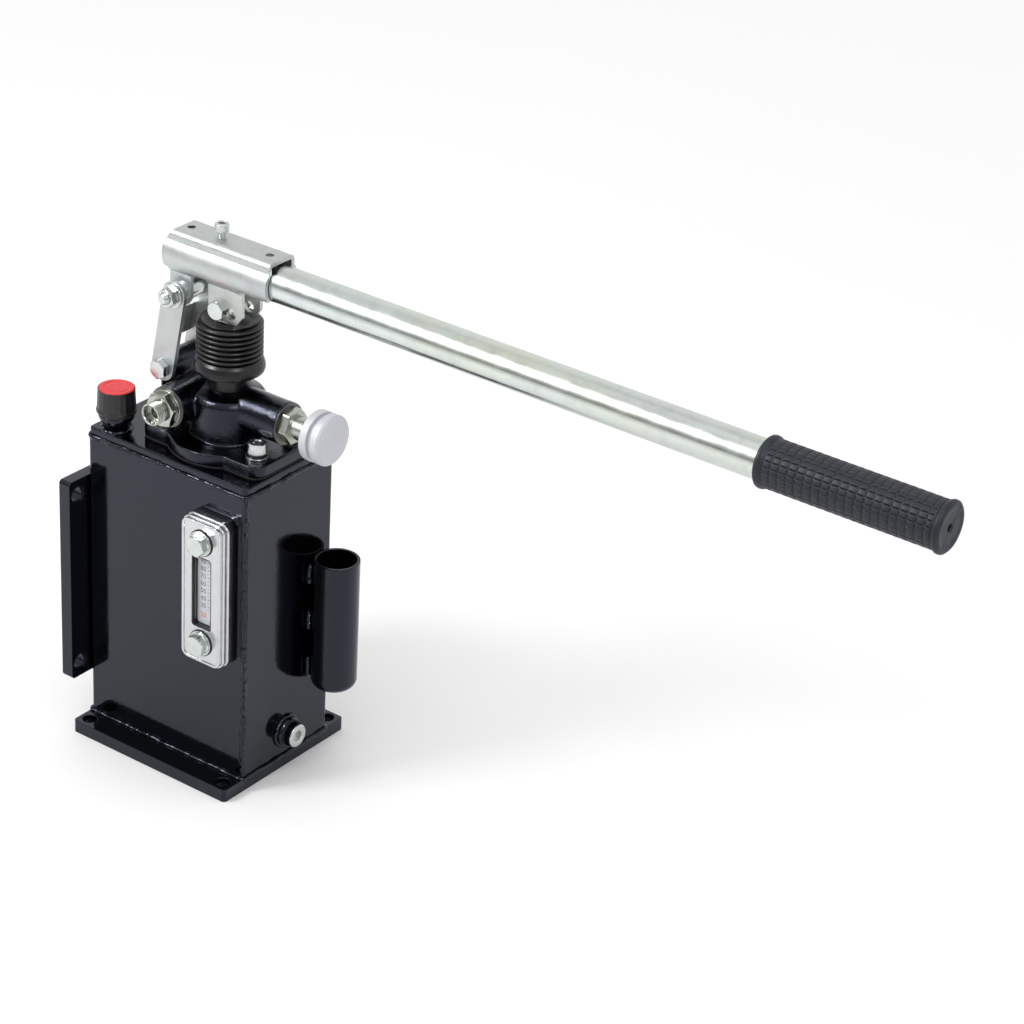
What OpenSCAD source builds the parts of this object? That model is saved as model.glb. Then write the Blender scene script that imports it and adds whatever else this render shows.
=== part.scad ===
// Hydraulic hand pump: a lever-worked piston pump bolted on a welded steel oil tank.
// Origin: centre of the base plate's underside. +Z up, +X along the lever, -Y the gauge side.

/* [Tank] */
// Length of the tank along the lever
tank_length = 148; // [140:1:160]
// Width of the tank across the lever
tank_width = 95; // [90:1:110]
// Height of the tank's top face above the floor
tank_top = 245; // [240:1:250]
// Thickness of the tank's sheet walls
tank_wall = 3; // [2:0.5:4]
// Thickness of the tank's top plate
lid_t = 6; // [5:1:8]
// Outside radius of the tank's upright corners
tank_corner = 4; // [3:0.5:6]
// Leg of the fillet welds
weld_leg = 3; // [2:0.5:4]

/* [Base plate] */
// Width of the base plate across the lever
base_width = 134; // [130:1:150]
// Thickness of the base plate
base_t = 10; // [8:1:12]
// Base hole spacing along the lever
base_hole_x = 130; // [124:1:132]
// Base hole spacing across the lever
base_hole_y = 117; // [114:1:120]
// Diameter of the base holes
base_hole_d = 11; // [9:1:12]

/* [Wall plate] */
// Thickness of the upright mounting plate
wall_plate_t = 10; // [8:1:12]
// Height of the plate's lower edge
wall_plate_low = 44; // [40:1:60]
// Height of the plate's upper edge
wall_plate_high = 206; // [200:1:215]
// Vertical spacing of the plate's holes
wall_hole_z = 138; // [130:1:142]
// Diameter of the plate's holes
wall_hole_d = 12; // [9:1:12]

/* [Lever store] */
// Outside diameter of the storage tube
store_od = 33.7; // [33:0.1:36]
// Inside diameter of the storage tube
store_id = 29; // [28:0.5:30]
// Distance of the storage tube from the tank's middle plane
store_y = 33.1; // [24:0.1:34]
// Height of the storage tube's lower end
store_low = 62; // [60:1:80]
// Height of the storage tube's upper end
store_high = 165; // [150:1:180]

/* [Filler] */
// Filler place along the lever
filler_x = -56.5; // [-57:0.5:-54]
// Filler place across the lever
filler_y = -36; // [-36:0.5:-28]
// Outside diameter of the filler cap
cap_d = 29; // [28:0.5:30]
// Height of the filler cap
cap_h = 18.5; // [14:0.5:19]

/* [Level gauge] */
// Gauge middle along the lever
gauge_x = 45.5; // [40:0.5:50]
// Height of the gauge's middle
gauge_z = 159.5; // [150:0.5:162]
// Distance between the gauge's two bolts
gauge_pitch = 80; // [76:1:84]
// Width of the gauge
gauge_w = 39; // [36:1:40]
// Height of the gauge
gauge_h = 115; // [112:1:118]
// How far the gauge stands out of the tank
gauge_depth = 14; // [13.5:0.5:14]

/* [Pump body] */
// Piston axis place along the lever
pump_x = 17; // [16:0.5:18]
// Diameter of the pump cylinder's casting
cylinder_d = 53; // [50:1:54]
// Thickness of the casting's foot
foot_t = 9; // [7:0.5:10]
// Spacing of the foot screws along the lever
foot_screw_x = 83; // [80:1:84]
// Spacing of the foot screws across the lever
foot_screw_y = 37; // [36:1:40]
// Height of the two side ports' axes
port_z = 278; // [276:1:279]
// Pressure port place along the lever
port_x = -8; // [-9:0.5:-7]
// How far the release boss's face is from the middle
release_face = 71; // [70:1:72]

/* [Piston] */
// Diameter of the piston
piston_d = 25; // [24.5:0.5:25]
// Diameter of the piston rod
rod_d = 18; // [18:0.5:18]
// Height of the piston pin with the lever level
pin_z = 351.5; // [350:0.5:352]
// Diameter of the pivot bolts
pivot_d = 8; // [8:1:8]

/* [Links] */
// Upper link pivot along the lever
link_top_x = -19; // [-20:0.5:-18]
// Upper link pivot height
link_top_z = 353.5; // [353:0.5:354]
// Lower link pivot along the lever
link_low_x = -29.5; // [-30:0.5:-29]
// Lower link pivot height
link_low_z = 295; // [294:0.5:296]
// Width of the two links
link_w = 20; // [18:1:20]
// Thickness of the two links
link_t = 3.5; // [3:0.5:4]

/* [Lever] */
// Height of the lever's axis
lever_z = 380.8; // [380:0.2:382]
// Outside diameter of the lever tube
lever_d = 27; // [26:0.5:27]
// Wall of the lever tube
lever_wall = 2.5; // [2:0.5:3]
// Where the lever's hand end finishes
lever_end = 581; // [400:1:700]
// Length of the rubber grip
grip_length = 130; // [110:1:140]
// Diameter of the grip's ends
grip_d = 35; // [34:0.5:36]
// Thickness of the lever holder's sheet
holder_t = 3; // [2.5:0.5:3]

/* [Knob] */
// Diameter of the release knob
knob_d = 37; // [34:1:38]
// Thickness of the release knob
knob_t = 16.5; // [14:0.5:18]

/* [Hidden] */
$fn = 64;
eps = 0.01;
// Small gap between pieces that touch in one assembly, and the running gap on pins and pistons
snug = 0.02;
running = 0.05;

zinc = [0.78, 0.79, 0.78];
black_paint = [0.06, 0.06, 0.07];
rubber_black = [0.09, 0.09, 0.1];
brass_tone = [0.75, 0.65, 0.4];

face_x = tank_length / 2;
face_y = tank_width / 2;
lid_z = tank_top - lid_t;
gasket_t = 1;
foot_z = tank_top + gasket_t;
foot_top = foot_z + foot_t;
store_x = face_x + store_od / 2;
drain_z = 30;

// Foot screws stand symmetrically round the piston axis
function foot_points() = [for (sx = [-1, 1], sy = [-1, 1])
  [pump_x + sx * foot_screw_x / 2, sy * foot_screw_y / 2]];
// Corners of a rectangle of holes
function corners(dx, dy) = [for (sx = [-1, 1], sy = [-1, 1]) [sx * dx / 2, sy * dy / 2]];

// ---- shared shapes ----

// Rectangle with true round corners
module rounded_rect(l, w, r) {
  square([l - 2 * r, w], center = true);
  square([l, w - 2 * r], center = true);
  for (p = corners(l - 2 * r, w - 2 * r)) translate(p) circle(r);
}

// Plate with true round corners, lying on its lower face
module rounded_plate(l, w, r, t) {
  linear_extrude(t) rounded_rect(l, w, r);
}

// Ring with a rectangular section
module ring(outer_r, inner_r, h) {
  difference() {
    cylinder(r = outer_r, h = h);
    translate([0, 0, -1]) cylinder(r = inner_r, h = h + 2);
  }
}

// Round ring, such as an O-ring
module round_ring(mid_r, wire_r) {
  rotate_extrude() translate([mid_r, 0]) circle(wire_r, $fn = 24);
}

// Hexagon with its outer corners turned off
module hex_head(af, h) {
  intersection() {
    cylinder(d = af / cos(30), h = h, $fn = 6);
    rotate_extrude() polygon([[0, 0], [af, 0], [af, h - (af - af * 0.48) * 0.5], [af * 0.48, h], [0, h]]);
  }
}

// Nut with a plain hole
module hex_nut(af, h, bore_d) {
  difference() {
    hex_head(af, h);
    translate([0, 0, -1]) cylinder(d = bore_d, h = h + 2);
  }
}

// Socket-head screw: head on top of z = 0, shank below
module socket_screw(d, length, head_d, head_h, socket_af) {
  difference() {
    union() {
      cylinder(d = head_d, h = head_h - 0.6);
      translate([0, 0, head_h - 0.6]) cylinder(d1 = head_d, d2 = head_d - 1.2, h = 0.6);
    }
    translate([0, 0, head_h * 0.45]) cylinder(d = socket_af / cos(30), h = head_h, $fn = 6);
  }
  translate([0, 0, -length]) cylinder(d = d, h = length + eps);
}

// Compression spring
module coil_spring(mid_r, wire_d, h, turns) {
  linear_extrude(height = h, twist = -360 * turns, slices = turns * 12)
    translate([mid_r, 0]) circle(d = wire_d, $fn = 8);
}

// Turns a shape's +Z to the -Y side, the side of the gauge and the pressure port
module to_gauge_side() {
  rotate([90, 0, 0]) children();
}

// Turns a shape's +Z to the +X side, the side of the release valve
module to_lever_side() {
  rotate([0, 90, 0]) children();
}

// ---- tank ----

module base_plate() {
  color(black_paint) difference() {
    rounded_plate(tank_length, base_width, 3, base_t);
    for (p = corners(base_hole_x, base_hole_y))
      translate([p[0], p[1], -1]) cylinder(d = base_hole_d, h = base_t + 2);
  }
}

module tank_shell() {
  inner_l = tank_length - 2 * tank_wall;
  inner_w = tank_width - 2 * tank_wall;
  color(black_paint) difference() {
    translate([0, 0, base_t]) linear_extrude(lid_z - base_t) difference() {
      rounded_rect(tank_length, tank_width, tank_corner);
      rounded_rect(inner_l, inner_w, tank_corner - tank_wall);
    }
    for (s = [-1, 1]) translate([gauge_x, -face_y + tank_wall + 1, gauge_z + s * gauge_pitch / 2])
      to_gauge_side() cylinder(d = 10.5, h = tank_wall + 2);
    translate([face_x - tank_wall - 1, 0, drain_z]) to_lever_side() cylinder(r = 10, h = tank_wall + 2);
  }
}

module tank_top_plate() {
  color(black_paint) difference() {
    translate([0, 0, lid_z]) rounded_plate(tank_length, tank_width, tank_corner, lid_t);
    translate([pump_x, 0, lid_z - 1]) cylinder(r = 18.5, h = lid_t + 2);
    for (p = foot_points()) translate([p[0], p[1], lid_z - 1]) cylinder(d = 8, h = lid_t + 2);
    translate([filler_x, filler_y, lid_z - 1]) cylinder(r = 9.5, h = lid_t + 2);
  }
}

// Fillet weld along the joint of the tank and its base
module tank_welds() {
  section = [[0, 0], [weld_leg, 0], [0, weld_leg]];
  color(black_paint) for (s = [0, 180]) rotate([0, 0, s])
    translate([-face_x + tank_corner, face_y, base_t]) rotate([90, 0, 90])
      linear_extrude(tank_length - 2 * tank_corner) polygon(section);
}

module wall_mount_plate() {
  height = wall_plate_high - wall_plate_low;
  mid_z = (wall_plate_high + wall_plate_low) / 2;
  color(black_paint) difference() {
    translate([-face_x - wall_plate_t, 0, mid_z]) rotate([0, 90, 0])
      rounded_plate(height, base_width, 3, wall_plate_t);
    for (p = corners(wall_hole_z, base_hole_y))
      translate([-face_x - wall_plate_t - 1, p[1], mid_z + p[0]])
        to_lever_side() cylinder(d = wall_hole_d, h = wall_plate_t + 2);
  }
}

module lever_storage_tube() {
  lip_h = 4;
  lip_r = 12;
  outer_r = store_od / 2;
  color(black_paint) translate([store_x, store_y, store_low]) difference() {
    union() {
      cylinder(r1 = outer_r - 2.5, r2 = outer_r, h = lip_h);
      translate([0, 0, lip_h]) cylinder(r = outer_r, h = store_high - store_low - lip_h);
    }
    translate([0, 0, -1]) cylinder(r = lip_r, h = lip_h + 2);
    translate([0, 0, lip_h]) cylinder(d = store_id, h = store_high - store_low);
  }
}

// Three stitch welds in the corner of the storage tube and the tank
module storage_tube_welds() {
  bead_r = 4;
  bead_h = 17;
  gap_angle = 38;
  span = store_high - store_low;
  color(black_paint) for (z = [0.05, 0.42, 0.79]) difference() {
    translate([face_x + 1, store_y - store_od / 2 * sin(gap_angle), store_low + z * span])
      cylinder(r = bead_r, h = bead_h);
    translate([store_x, store_y, store_low - 1]) cylinder(d = store_od, h = span + 20);
    translate([-face_x, -face_y, 0]) cube([tank_length, tank_width, tank_top]);
  }
}

// ---- filler ----

neck_r = 9.4;
collar_r = 13;
cap_z = tank_top + 13.5;
cap_thread_r = 8;

module filler_neck() {
  color(black_paint) translate([filler_x, filler_y, 0]) difference() {
    union() {
      translate([0, 0, lid_z]) cylinder(r = neck_r, h = lid_t + 4);
      translate([0, 0, tank_top + 4]) cylinder(r1 = neck_r, r2 = collar_r, h = 6.5);
      translate([0, 0, tank_top + 10.5]) cylinder(r = collar_r, h = 2);
      translate([0, 0, tank_top + 12]) cylinder(r = cap_thread_r, h = 10);
    }
    translate([0, 0, lid_z - 1]) cylinder(r = 6.5, h = 40);
  }
}

module filler_strainer() {
  color(zinc) translate([filler_x, filler_y, 200]) {
    ring(6.3, 5.7, 66);
    cylinder(r = 6.3, h = 0.8);
  }
}

module filler_gasket() {
  color(rubber_black) translate([filler_x, filler_y, tank_top + 12.5 + snug])
    ring(collar_r, cap_thread_r + 0.3, 1 - 2 * snug);
}

module filler_cap() {
  ribs = 24;
  cap_r = cap_d / 2;
  color(rubber_black) translate([filler_x, filler_y, cap_z]) difference() {
    union() {
      cylinder(r = cap_r - 0.6, h = cap_h - 1);
      translate([0, 0, cap_h - 1]) cylinder(r1 = cap_r - 0.6, r2 = cap_r - 1.4, h = 1);
      for (a = [0 : 360 / ribs : 359]) rotate([0, 0, a]) translate([cap_r - 1, -0.8, 1.5])
        cube([0.9, 1.6, cap_h - 3.5]);
      cylinder(r = cap_r, h = 1.5);
    }
    translate([0, 0, -1]) cylinder(r = cap_thread_r + running, h = 11);
    translate([0, 0, cap_h - 1.2]) cylinder(r = cap_r - 2, h = 2);
  }
}

module filler_cap_disc() {
  disc_r = cap_d / 2 - 2.1;
  color("red") translate([filler_x, filler_y, cap_z + cap_h - 1.2 + snug]) difference() {
    cylinder(r = disc_r, h = 1.8);
    translate([0, 0, 1.2]) ring(disc_r * 0.72, disc_r * 0.66, 2);
  }
}

// ---- level gauge ----

housing_t = 2.6;
frame_y = -face_y - housing_t;
frame_t = gauge_depth - housing_t;
frame_face = frame_t - 0.8;
window_w = 16;
window_h = 55;
core_wall = 0.9;

// Places a shape drawn flat, with its +Z out of the gauge's face
module at_gauge(y) {
  translate([gauge_x, y, gauge_z]) to_gauge_side() children();
}

module gauge_holes(d, h) {
  for (s = [-1, 1]) translate([0, s * gauge_pitch / 2, -1]) cylinder(d = d, h = h);
}

module gauge_housing() {
  color(rubber_black) at_gauge(-face_y - snug) difference() {
    union() {
      rounded_plate(gauge_w - 1, gauge_h - 1, 6, housing_t);
      rounded_plate(window_w + 2 * core_wall, window_h + 2 * core_wall, 2.5, gauge_depth - 1.2);
    }
    gauge_holes(10.2, 10);
    for (s = [-1, 1]) translate([0, s * gauge_pitch / 2, -1]) cylinder(r = 8.6, h = 2.6);
    translate([0, 0, gauge_depth - 7]) rounded_plate(window_w, window_h, 1.6, 10);
  }
}

module gauge_frame() {
  flange_t = 4.9;
  groove_end = 6.4;
  rim_end = 8.8;
  color(zinc) at_gauge(frame_y - 2 * snug) difference() {
    union() {
      rounded_plate(gauge_w, gauge_h, 6.5, flange_t);
      rounded_plate(gauge_w - 1.6, gauge_h - 1.6, 5.7, groove_end);
      translate([0, 0, groove_end]) rounded_plate(gauge_w - 0.6, gauge_h - 0.6, 6.2, rim_end - groove_end);
      rounded_plate(gauge_w - 3.4, gauge_h - 3.4, 5, frame_t);
    }
    translate([0, 0, frame_face]) rounded_plate(gauge_w - 8, gauge_h - 8, 3.5, 4);
    gauge_holes(10.2, 20);
    translate([0, 0, -1])
      rounded_plate(window_w + 2 * core_wall + 0.1, window_h + 2 * core_wall + 0.1, 2.55, 20);
  }
}

module gauge_window() {
  color([0.85, 0.9, 0.9, 0.35]) at_gauge(-face_y - gauge_depth + 4)
    rounded_plate(window_w - 2 * snug, window_h - 2 * snug, 1.58, 0.8);
}

module gauge_card() {
  color("white") at_gauge(-face_y - gauge_depth + 7 - 3 * snug)
    rounded_plate(window_w - 2 * snug, window_h - 2 * snug, 1.58, 0.8);
}

module gauge_bolts() {
  head_y = frame_y - frame_face - 1.4 - 4 * snug;
  color(zinc) for (s = [-1, 1]) translate([gauge_x, head_y, gauge_z + s * gauge_pitch / 2]) {
    to_gauge_side() hex_head(15, 6.5);
    mirror([0, 1, 0]) to_gauge_side() difference() {
      cylinder(d = 10, h = 27);
      translate([0, 0, 9]) cylinder(d = 4, h = 20);
    }
  }
}

module gauge_washers() {
  color(zinc) for (s = [-1, 1])
    translate([gauge_x, frame_y - frame_face - 3 * snug, gauge_z + s * gauge_pitch / 2])
      to_gauge_side() ring(9.5, 5.1, 1.4);
}

module gauge_seals() {
  color(rubber_black) for (s = [-1, 1])
    translate([gauge_x, -face_y - 0.8, gauge_z + s * gauge_pitch / 2])
      to_gauge_side() round_ring(6.2, 0.75);
}

// ---- drain ----

drain_boss_r = 11.5;

module drain_boss() {
  color(black_paint) translate([0, 0, drain_z]) to_lever_side() {
    translate([0, 0, face_x]) ring(drain_boss_r, 7.8, 5);
    translate([0, 0, face_x - 6]) ring(9.9, 7.8, 6);
  }
}

module drain_seal() {
  color(rubber_black) translate([face_x + 5 + snug, 0, drain_z]) to_lever_side() ring(9.8, 7.9, 1.2);
}

module drain_plug() {
  color(zinc) translate([face_x + 6.2 + 2 * snug, 0, drain_z]) to_lever_side() difference() {
    union() {
      cylinder(r = 9.5, h = 5);
      translate([0, 0, 5]) cylinder(r1 = 9.5, r2 = 8.7, h = 0.8);
      translate([0, 0, -11]) cylinder(r = 7.75, h = 12);
    }
    translate([0, 0, 1]) cylinder(d = 8 / cos(30), h = 8, $fn = 6);
  }
}

// ---- pump body ----

cylinder_top = foot_top + 28;
shoulder_top = cylinder_top + 7.3;
neck_top = shoulder_top + 3.7;
shoulder_r = 15.3;
neck_r_outer = 13.6;
bore_low = foot_top - 9;
port_face = 37;
port_r = 15;
release_r = 15.5;
release_start = 16.5;
lug_half = 14.5;
web_half = 9.5;
spigot_low = tank_top - 24;

// Plan outline of the casting's foot
module foot_outline(grow) {
  translate([pump_x, 0]) rounded_rect(foot_screw_x + 27 + 2 * grow, foot_screw_y + 30 + 2 * grow, 10 + grow);
  translate([pump_x - 2, 0]) circle(42.5 + grow);
}

module pump_body_outside() {
  translate([0, 0, foot_z]) linear_extrude(foot_t) foot_outline(0);
  translate([pump_x, 0, 0]) {
    translate([0, 0, spigot_low]) cylinder(r = 18, h = foot_z - spigot_low + 1);
    translate([0, 0, foot_top - 1]) cylinder(d = cylinder_d, h = cylinder_top - foot_top + 1);
    translate([0, 0, cylinder_top]) cylinder(r1 = cylinder_d / 2, r2 = cylinder_d / 2 - 2.1, h = 3.6);
    translate([0, 0, cylinder_top + 3.6])
      cylinder(r1 = cylinder_d / 2 - 2.1, r2 = shoulder_r, h = shoulder_top - cylinder_top - 3.6);
    translate([0, 0, cylinder_top]) cylinder(r = neck_r_outer, h = neck_top - cylinder_top);
  }
  translate([pump_x + release_start, 0, port_z]) to_lever_side()
    cylinder(r = release_r, h = release_face - pump_x - release_start);
  translate([port_x, 0, port_z]) to_gauge_side() cylinder(r = port_r, h = port_face);
  translate([port_x - 20, -web_half, foot_top - 1]) cube([30, 2 * web_half, 30]);
  translate([link_low_x, lug_half, link_low_z]) to_gauge_side() cylinder(r = 9.5, h = 2 * lug_half);
  translate([link_low_x - 9.5, -web_half, foot_top - 1]) cube([19, 2 * web_half, link_low_z - foot_top + 1]);
  translate([link_low_x, -6, cylinder_top - 6]) cube([pump_x - 14 - link_low_x, 12, 12]);
}

module pump_body() {
  color(black_paint) difference() {
    pump_body_outside();
    translate([pump_x, 0, bore_low]) cylinder(d = piston_d + 2 * running, h = 80);
    translate([pump_x, 0, spigot_low - 1]) cylinder(r = 2.5, h = 60);
    translate([pump_x, 0, spigot_low - 1]) cylinder(r = 5.6, h = 18);
    for (p = foot_points()) translate([p[0], p[1], foot_z - 1]) cylinder(d = 9, h = 20);
    translate([release_face - 31, 0, port_z]) to_lever_side() cylinder(r = 8.05, h = 40);
    translate([pump_x, 0, port_z]) to_lever_side() cylinder(r = 2, h = 40);
    translate([port_x, -port_face + 20, port_z]) to_gauge_side() cylinder(r = 7.05, h = 30);
    translate([port_x, 0, port_z]) to_gauge_side() cylinder(r = 2, h = 20);
    translate([port_x, -8, port_z]) to_lever_side() cylinder(r = 1.6, h = 18);
    translate([link_low_x, lug_half + 1, link_low_z]) to_gauge_side()
      cylinder(r = pivot_d / 2 + snug, h = 2 * lug_half + 2);
  }
}

module foot_gasket() {
  color([0.12, 0.13, 0.14]) difference() {
    translate([0, 0, tank_top + snug]) linear_extrude(gasket_t - 2 * snug) foot_outline(-0.5);
    translate([pump_x, 0, tank_top - 1]) cylinder(r = 18.3, h = 4);
    for (p = foot_points()) translate([p[0], p[1], tank_top - 1]) cylinder(d = 9, h = 4);
  }
}

washer_t = 1.6;
spring_washer_t = 1.8;

module foot_washers() {
  color(zinc) for (p = foot_points()) translate([p[0], p[1], foot_top + snug]) ring(8, 4.2, washer_t);
}

module foot_spring_washers() {
  color(zinc) for (p = foot_points())
    translate([p[0], p[1], foot_top + washer_t + 2 * snug]) difference() {
      ring(6.6, 4.15, spring_washer_t);
      rotate([0, 0, 40]) translate([0, -0.4, -1]) cube([10, 0.8, 5]);
    }
}

module foot_screws() {
  color(zinc) for (p = foot_points())
    translate([p[0], p[1], foot_top + washer_t + spring_washer_t + 3 * snug])
      socket_screw(7.9, 20, 13, 8, 6);
}

module suction_ball() {
  color(zinc) translate([pump_x, 0, spigot_low + 11]) sphere(r = 4.2);
}

module suction_spring() {
  color(zinc) translate([pump_x, 0, spigot_low + 4]) coil_spring(3.2, 0.8, 3.2, 3);
}

module suction_tube() {
  color(zinc) translate([pump_x, 0, 34]) {
    ring(5.5, 4.3, spigot_low + 3 - 34);
  }
}

module suction_strainer() {
  color(zinc) translate([pump_x, 0, 16]) difference() {
    cylinder(r = 13, h = 18 + 6);
    translate([0, 0, 1]) cylinder(r = 12, h = 22);
    cylinder(r = 5.55, h = 40);
  }
}

module delivery_ball() {
  color(zinc) translate([port_x, -port_face + 16.5, port_z]) sphere(r = 3.2);
}

module delivery_spring() {
  color(zinc) translate([port_x, -port_face + 13, port_z]) to_gauge_side() coil_spring(2.8, 0.7, 2.6, 3);
}

module port_washer() {
  color(zinc) translate([port_x, -port_face - snug, port_z]) to_gauge_side() ring(13.2, 7.2, 1.5);
}

module pressure_fitting() {
  hex_t = 7;
  thread_h = 8.6;
  color(zinc) translate([port_x, -port_face - 1.5 - 2 * snug, port_z]) to_gauge_side() difference() {
    union() {
      hex_head(23, hex_t);
      translate([0, 0, hex_t - 1]) cylinder(r = 7.4, h = 3);
      translate([0, 0, hex_t + 1.5]) cylinder(r = 8.2, h = thread_h - 2.3);
      translate([0, 0, hex_t + thread_h - 0.8]) cylinder(r1 = 8.2, r2 = 7.4, h = 0.8);
      translate([0, 0, -10]) cylinder(r = 7, h = 11);
    }
    translate([0, 0, -11]) cylinder(r = 3, h = 40);
    translate([0, 0, hex_t]) cylinder(r = 5, h = thread_h);
    translate([0, 0, hex_t + 2]) cylinder(r1 = 5, r2 = 6.7, h = thread_h - 2 + eps);
  }
}

// ---- release valve ----

cartridge_hex = 8;
stem_end = 94;
spindle_r = 4;

module release_cartridge() {
  color(zinc) translate([0, 0, port_z]) to_lever_side() difference() {
    union() {
      translate([0, 0, release_face + snug]) hex_head(23, cartridge_hex);
      translate([0, 0, release_face + cartridge_hex - 1])
        cylinder(r = 8.5, h = stem_end - release_face - cartridge_hex + 1);
      translate([0, 0, release_face - 24]) cylinder(r = 8, h = 25);
    }
    translate([0, 0, release_face - 30]) cylinder(r = spindle_r + running, h = 70);
    translate([0, 0, stem_end - 6.5]) cylinder(r = 5.5, h = 10);
  }
}

module release_o_ring() {
  color(rubber_black) translate([stem_end - 4.5, 0, port_z]) to_lever_side() round_ring(spindle_r + 0.68, 0.62);
}

module release_spindle() {
  color(zinc) translate([0, 0, port_z]) to_lever_side() {
    translate([0, 0, release_face - 22]) cylinder(r = spindle_r, h = 48.5);
    translate([0, 0, release_face - 25]) cylinder(r1 = 1, r2 = spindle_r, h = 3 + eps);
  }
}

module release_knob() {
  back = stem_end + 0.5;
  disc = knob_t * 0.4;
  edge = 0.8;
  rim = knob_d / 2;
  color([0.82, 0.82, 0.83]) translate([back, 0, port_z]) to_lever_side() difference() {
    union() {
      cylinder(r1 = rim - edge, r2 = rim, h = edge);
      translate([0, 0, edge]) cylinder(r = rim, h = disc - edge);
      cylinder(r = rim - 2.5, h = knob_t - 1);
      translate([0, 0, knob_t - disc]) cylinder(r = rim, h = disc - edge);
      translate([0, 0, knob_t - edge]) cylinder(r1 = rim, r2 = rim - edge, h = edge);
    }
    translate([0, 0, -1]) cylinder(r = spindle_r + snug, h = 4);
  }
}

// ---- piston and seals ----

gland_low = neck_top - 12.5;
piston_low = foot_top - 3;
piston_h = 8;

module gland_bush() {
  color(brass_tone) translate([pump_x, 0, gland_low]) difference() {
    cylinder(d = piston_d, h = 12);
    translate([0, 0, -1]) cylinder(r = rod_d / 2 + running, h = 20);
    translate([0, 0, 2.5]) cylinder(r = rod_d / 2 + 2, h = 3);
    translate([0, 0, 8.5]) cylinder(r = rod_d / 2 + 2, h = 5);
  }
}

module rod_seal() {
  color([0.2, 0.3, 0.5]) translate([pump_x, 0, gland_low + 2.6])
    ring(rod_d / 2 + 1.9, rod_d / 2 + running, 2.8);
}

module rod_wiper() {
  color(rubber_black) translate([pump_x, 0, gland_low + 8.6]) ring(rod_d / 2 + 1.9, rod_d / 2 + running, 3.3);
}

module piston_rod() {
  flat_half = 7.7;
  flat_low = pin_z - 14;
  end_r = 9;
  color(zinc) difference() {
    union() {
      translate([pump_x, 0, piston_low]) cylinder(d = piston_d, h = piston_h);
      translate([pump_x, 0, piston_low + 1]) cylinder(d = rod_d, h = pin_z - piston_low - 1);
      intersection() {
        translate([pump_x, 12, pin_z]) to_gauge_side() cylinder(r = end_r, h = 24);
        translate([pump_x, 0, pin_z - 1]) cylinder(d = rod_d, h = 20);
      }
    }
    for (y = [flat_half, -flat_half - 10]) translate([pump_x - 20, y, flat_low]) cube([40, 10, 40]);
    translate([pump_x, 20, pin_z]) to_gauge_side() cylinder(r = pivot_d / 2 + running, h = 40);
    translate([pump_x, 0, piston_low + 3]) ring(piston_d / 2 + 1, piston_d / 2 - 2.5, 4);
  }
}

module piston_seal() {
  color([0.2, 0.3, 0.5]) translate([pump_x, 0, piston_low + 3.1]) ring(piston_d / 2, piston_d / 2 - 2.45, 3.8);
}

// ---- bellows ----

bellows_top = pin_z - 9.5;
cuff_low = shoulder_top + 0.3;
collar_low = cuff_low + 12.2;
ribs_low = collar_low + 11.4;
rib_count = 7;
rib_r = 23.4;
groove_r = 20.4;

// Outer outline of the ribs, each a half-round of the same pitch
function rib_outline() = [for (i = [0 : rib_count * 8])
  [groove_r + (rib_r - groove_r) * abs(sin(i * 180 / 8)),
   ribs_low + i * (bellows_top - 2.2 - ribs_low) / (rib_count * 8)]];

module bellows() {
  inner = 17.5;
  grip_r = neck_r_outer + snug;
  rod_r = rod_d / 2 + snug;
  color(rubber_black) translate([pump_x, 0, 0]) rotate_extrude() polygon(concat(
    [[grip_r, cuff_low], [14.8, cuff_low], [15.8, collar_low - 4], [15.8, collar_low], [23.8, collar_low],
     [25.2, collar_low + 3], [24.6, collar_low + 6.7], [23.2, collar_low + 9.7]],
    rib_outline(),
    [[20.5, bellows_top - 2.2], [21, bellows_top], [19.8, bellows_top], [19, bellows_top - 2],
     [rod_r + 3, bellows_top - 2], [rod_r, bellows_top - 3], [rod_r, bellows_top - 6],
     [inner, bellows_top - 6.5], [inner, collar_low + 6], [14.3, collar_low + 1], [14.3, neck_top + 1.5],
     [grip_r, neck_top + 0.8]]));
}

// ---- links ----

link_inner = 15;
link_dx = link_top_x - link_low_x;
link_dz = link_top_z - link_low_z;
link_length = sqrt(link_dx * link_dx + link_dz * link_dz);
link_tilt = atan2(link_dx, link_dz);
open_pivot_clearance = 2.1;

// One link, its lower hole a bearing and its upper hole wide enough for the open pivot
module link() {
  translate([link_low_x, 0, link_low_z]) rotate([0, link_tilt, 0]) to_gauge_side() difference() {
    union() {
      cylinder(d = link_w, h = link_t);
      translate([0, link_length, 0]) cylinder(d = link_w, h = link_t);
      translate([-link_w / 2, 0, 0]) cube([link_w, link_length, link_t]);
    }
    translate([0, 0, -1]) cylinder(r = pivot_d / 2 + running, h = link_t + 2);
    translate([0, link_length, -1]) cylinder(r = pivot_d / 2 + open_pivot_clearance, h = link_t + 2);
  }
}

module link_near() {
  color(zinc) translate([0, -link_inner, 0]) link();
}

module link_far() {
  color(zinc) translate([0, link_inner + link_t, 0]) link();
}

// Cross piece that joins the two links along their rear edges
module link_web() {
  web_low = 16;
  web_high = link_length - 21;
  color(zinc) translate([link_low_x, 0, link_low_z]) rotate([0, link_tilt, 0])
    translate([-link_w / 2, -link_inner + snug, web_low])
      cube([link_t, 2 * link_inner - 2 * snug, web_high - web_low]);
}

link_outer = link_inner + link_t;
pivot_head_h = 5.5;
pivot_nut_h = 6.5;
pivot_af = 13;

// Hexagon bolt across the lever, its head at y = -reach
module cross_bolt(x, z, reach, end_y) {
  translate([x, -reach, z]) {
    to_gauge_side() hex_head(pivot_af, pivot_head_h);
    mirror([0, 1, 0]) to_gauge_side() cylinder(d = pivot_d, h = reach + end_y);
  }
}

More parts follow.
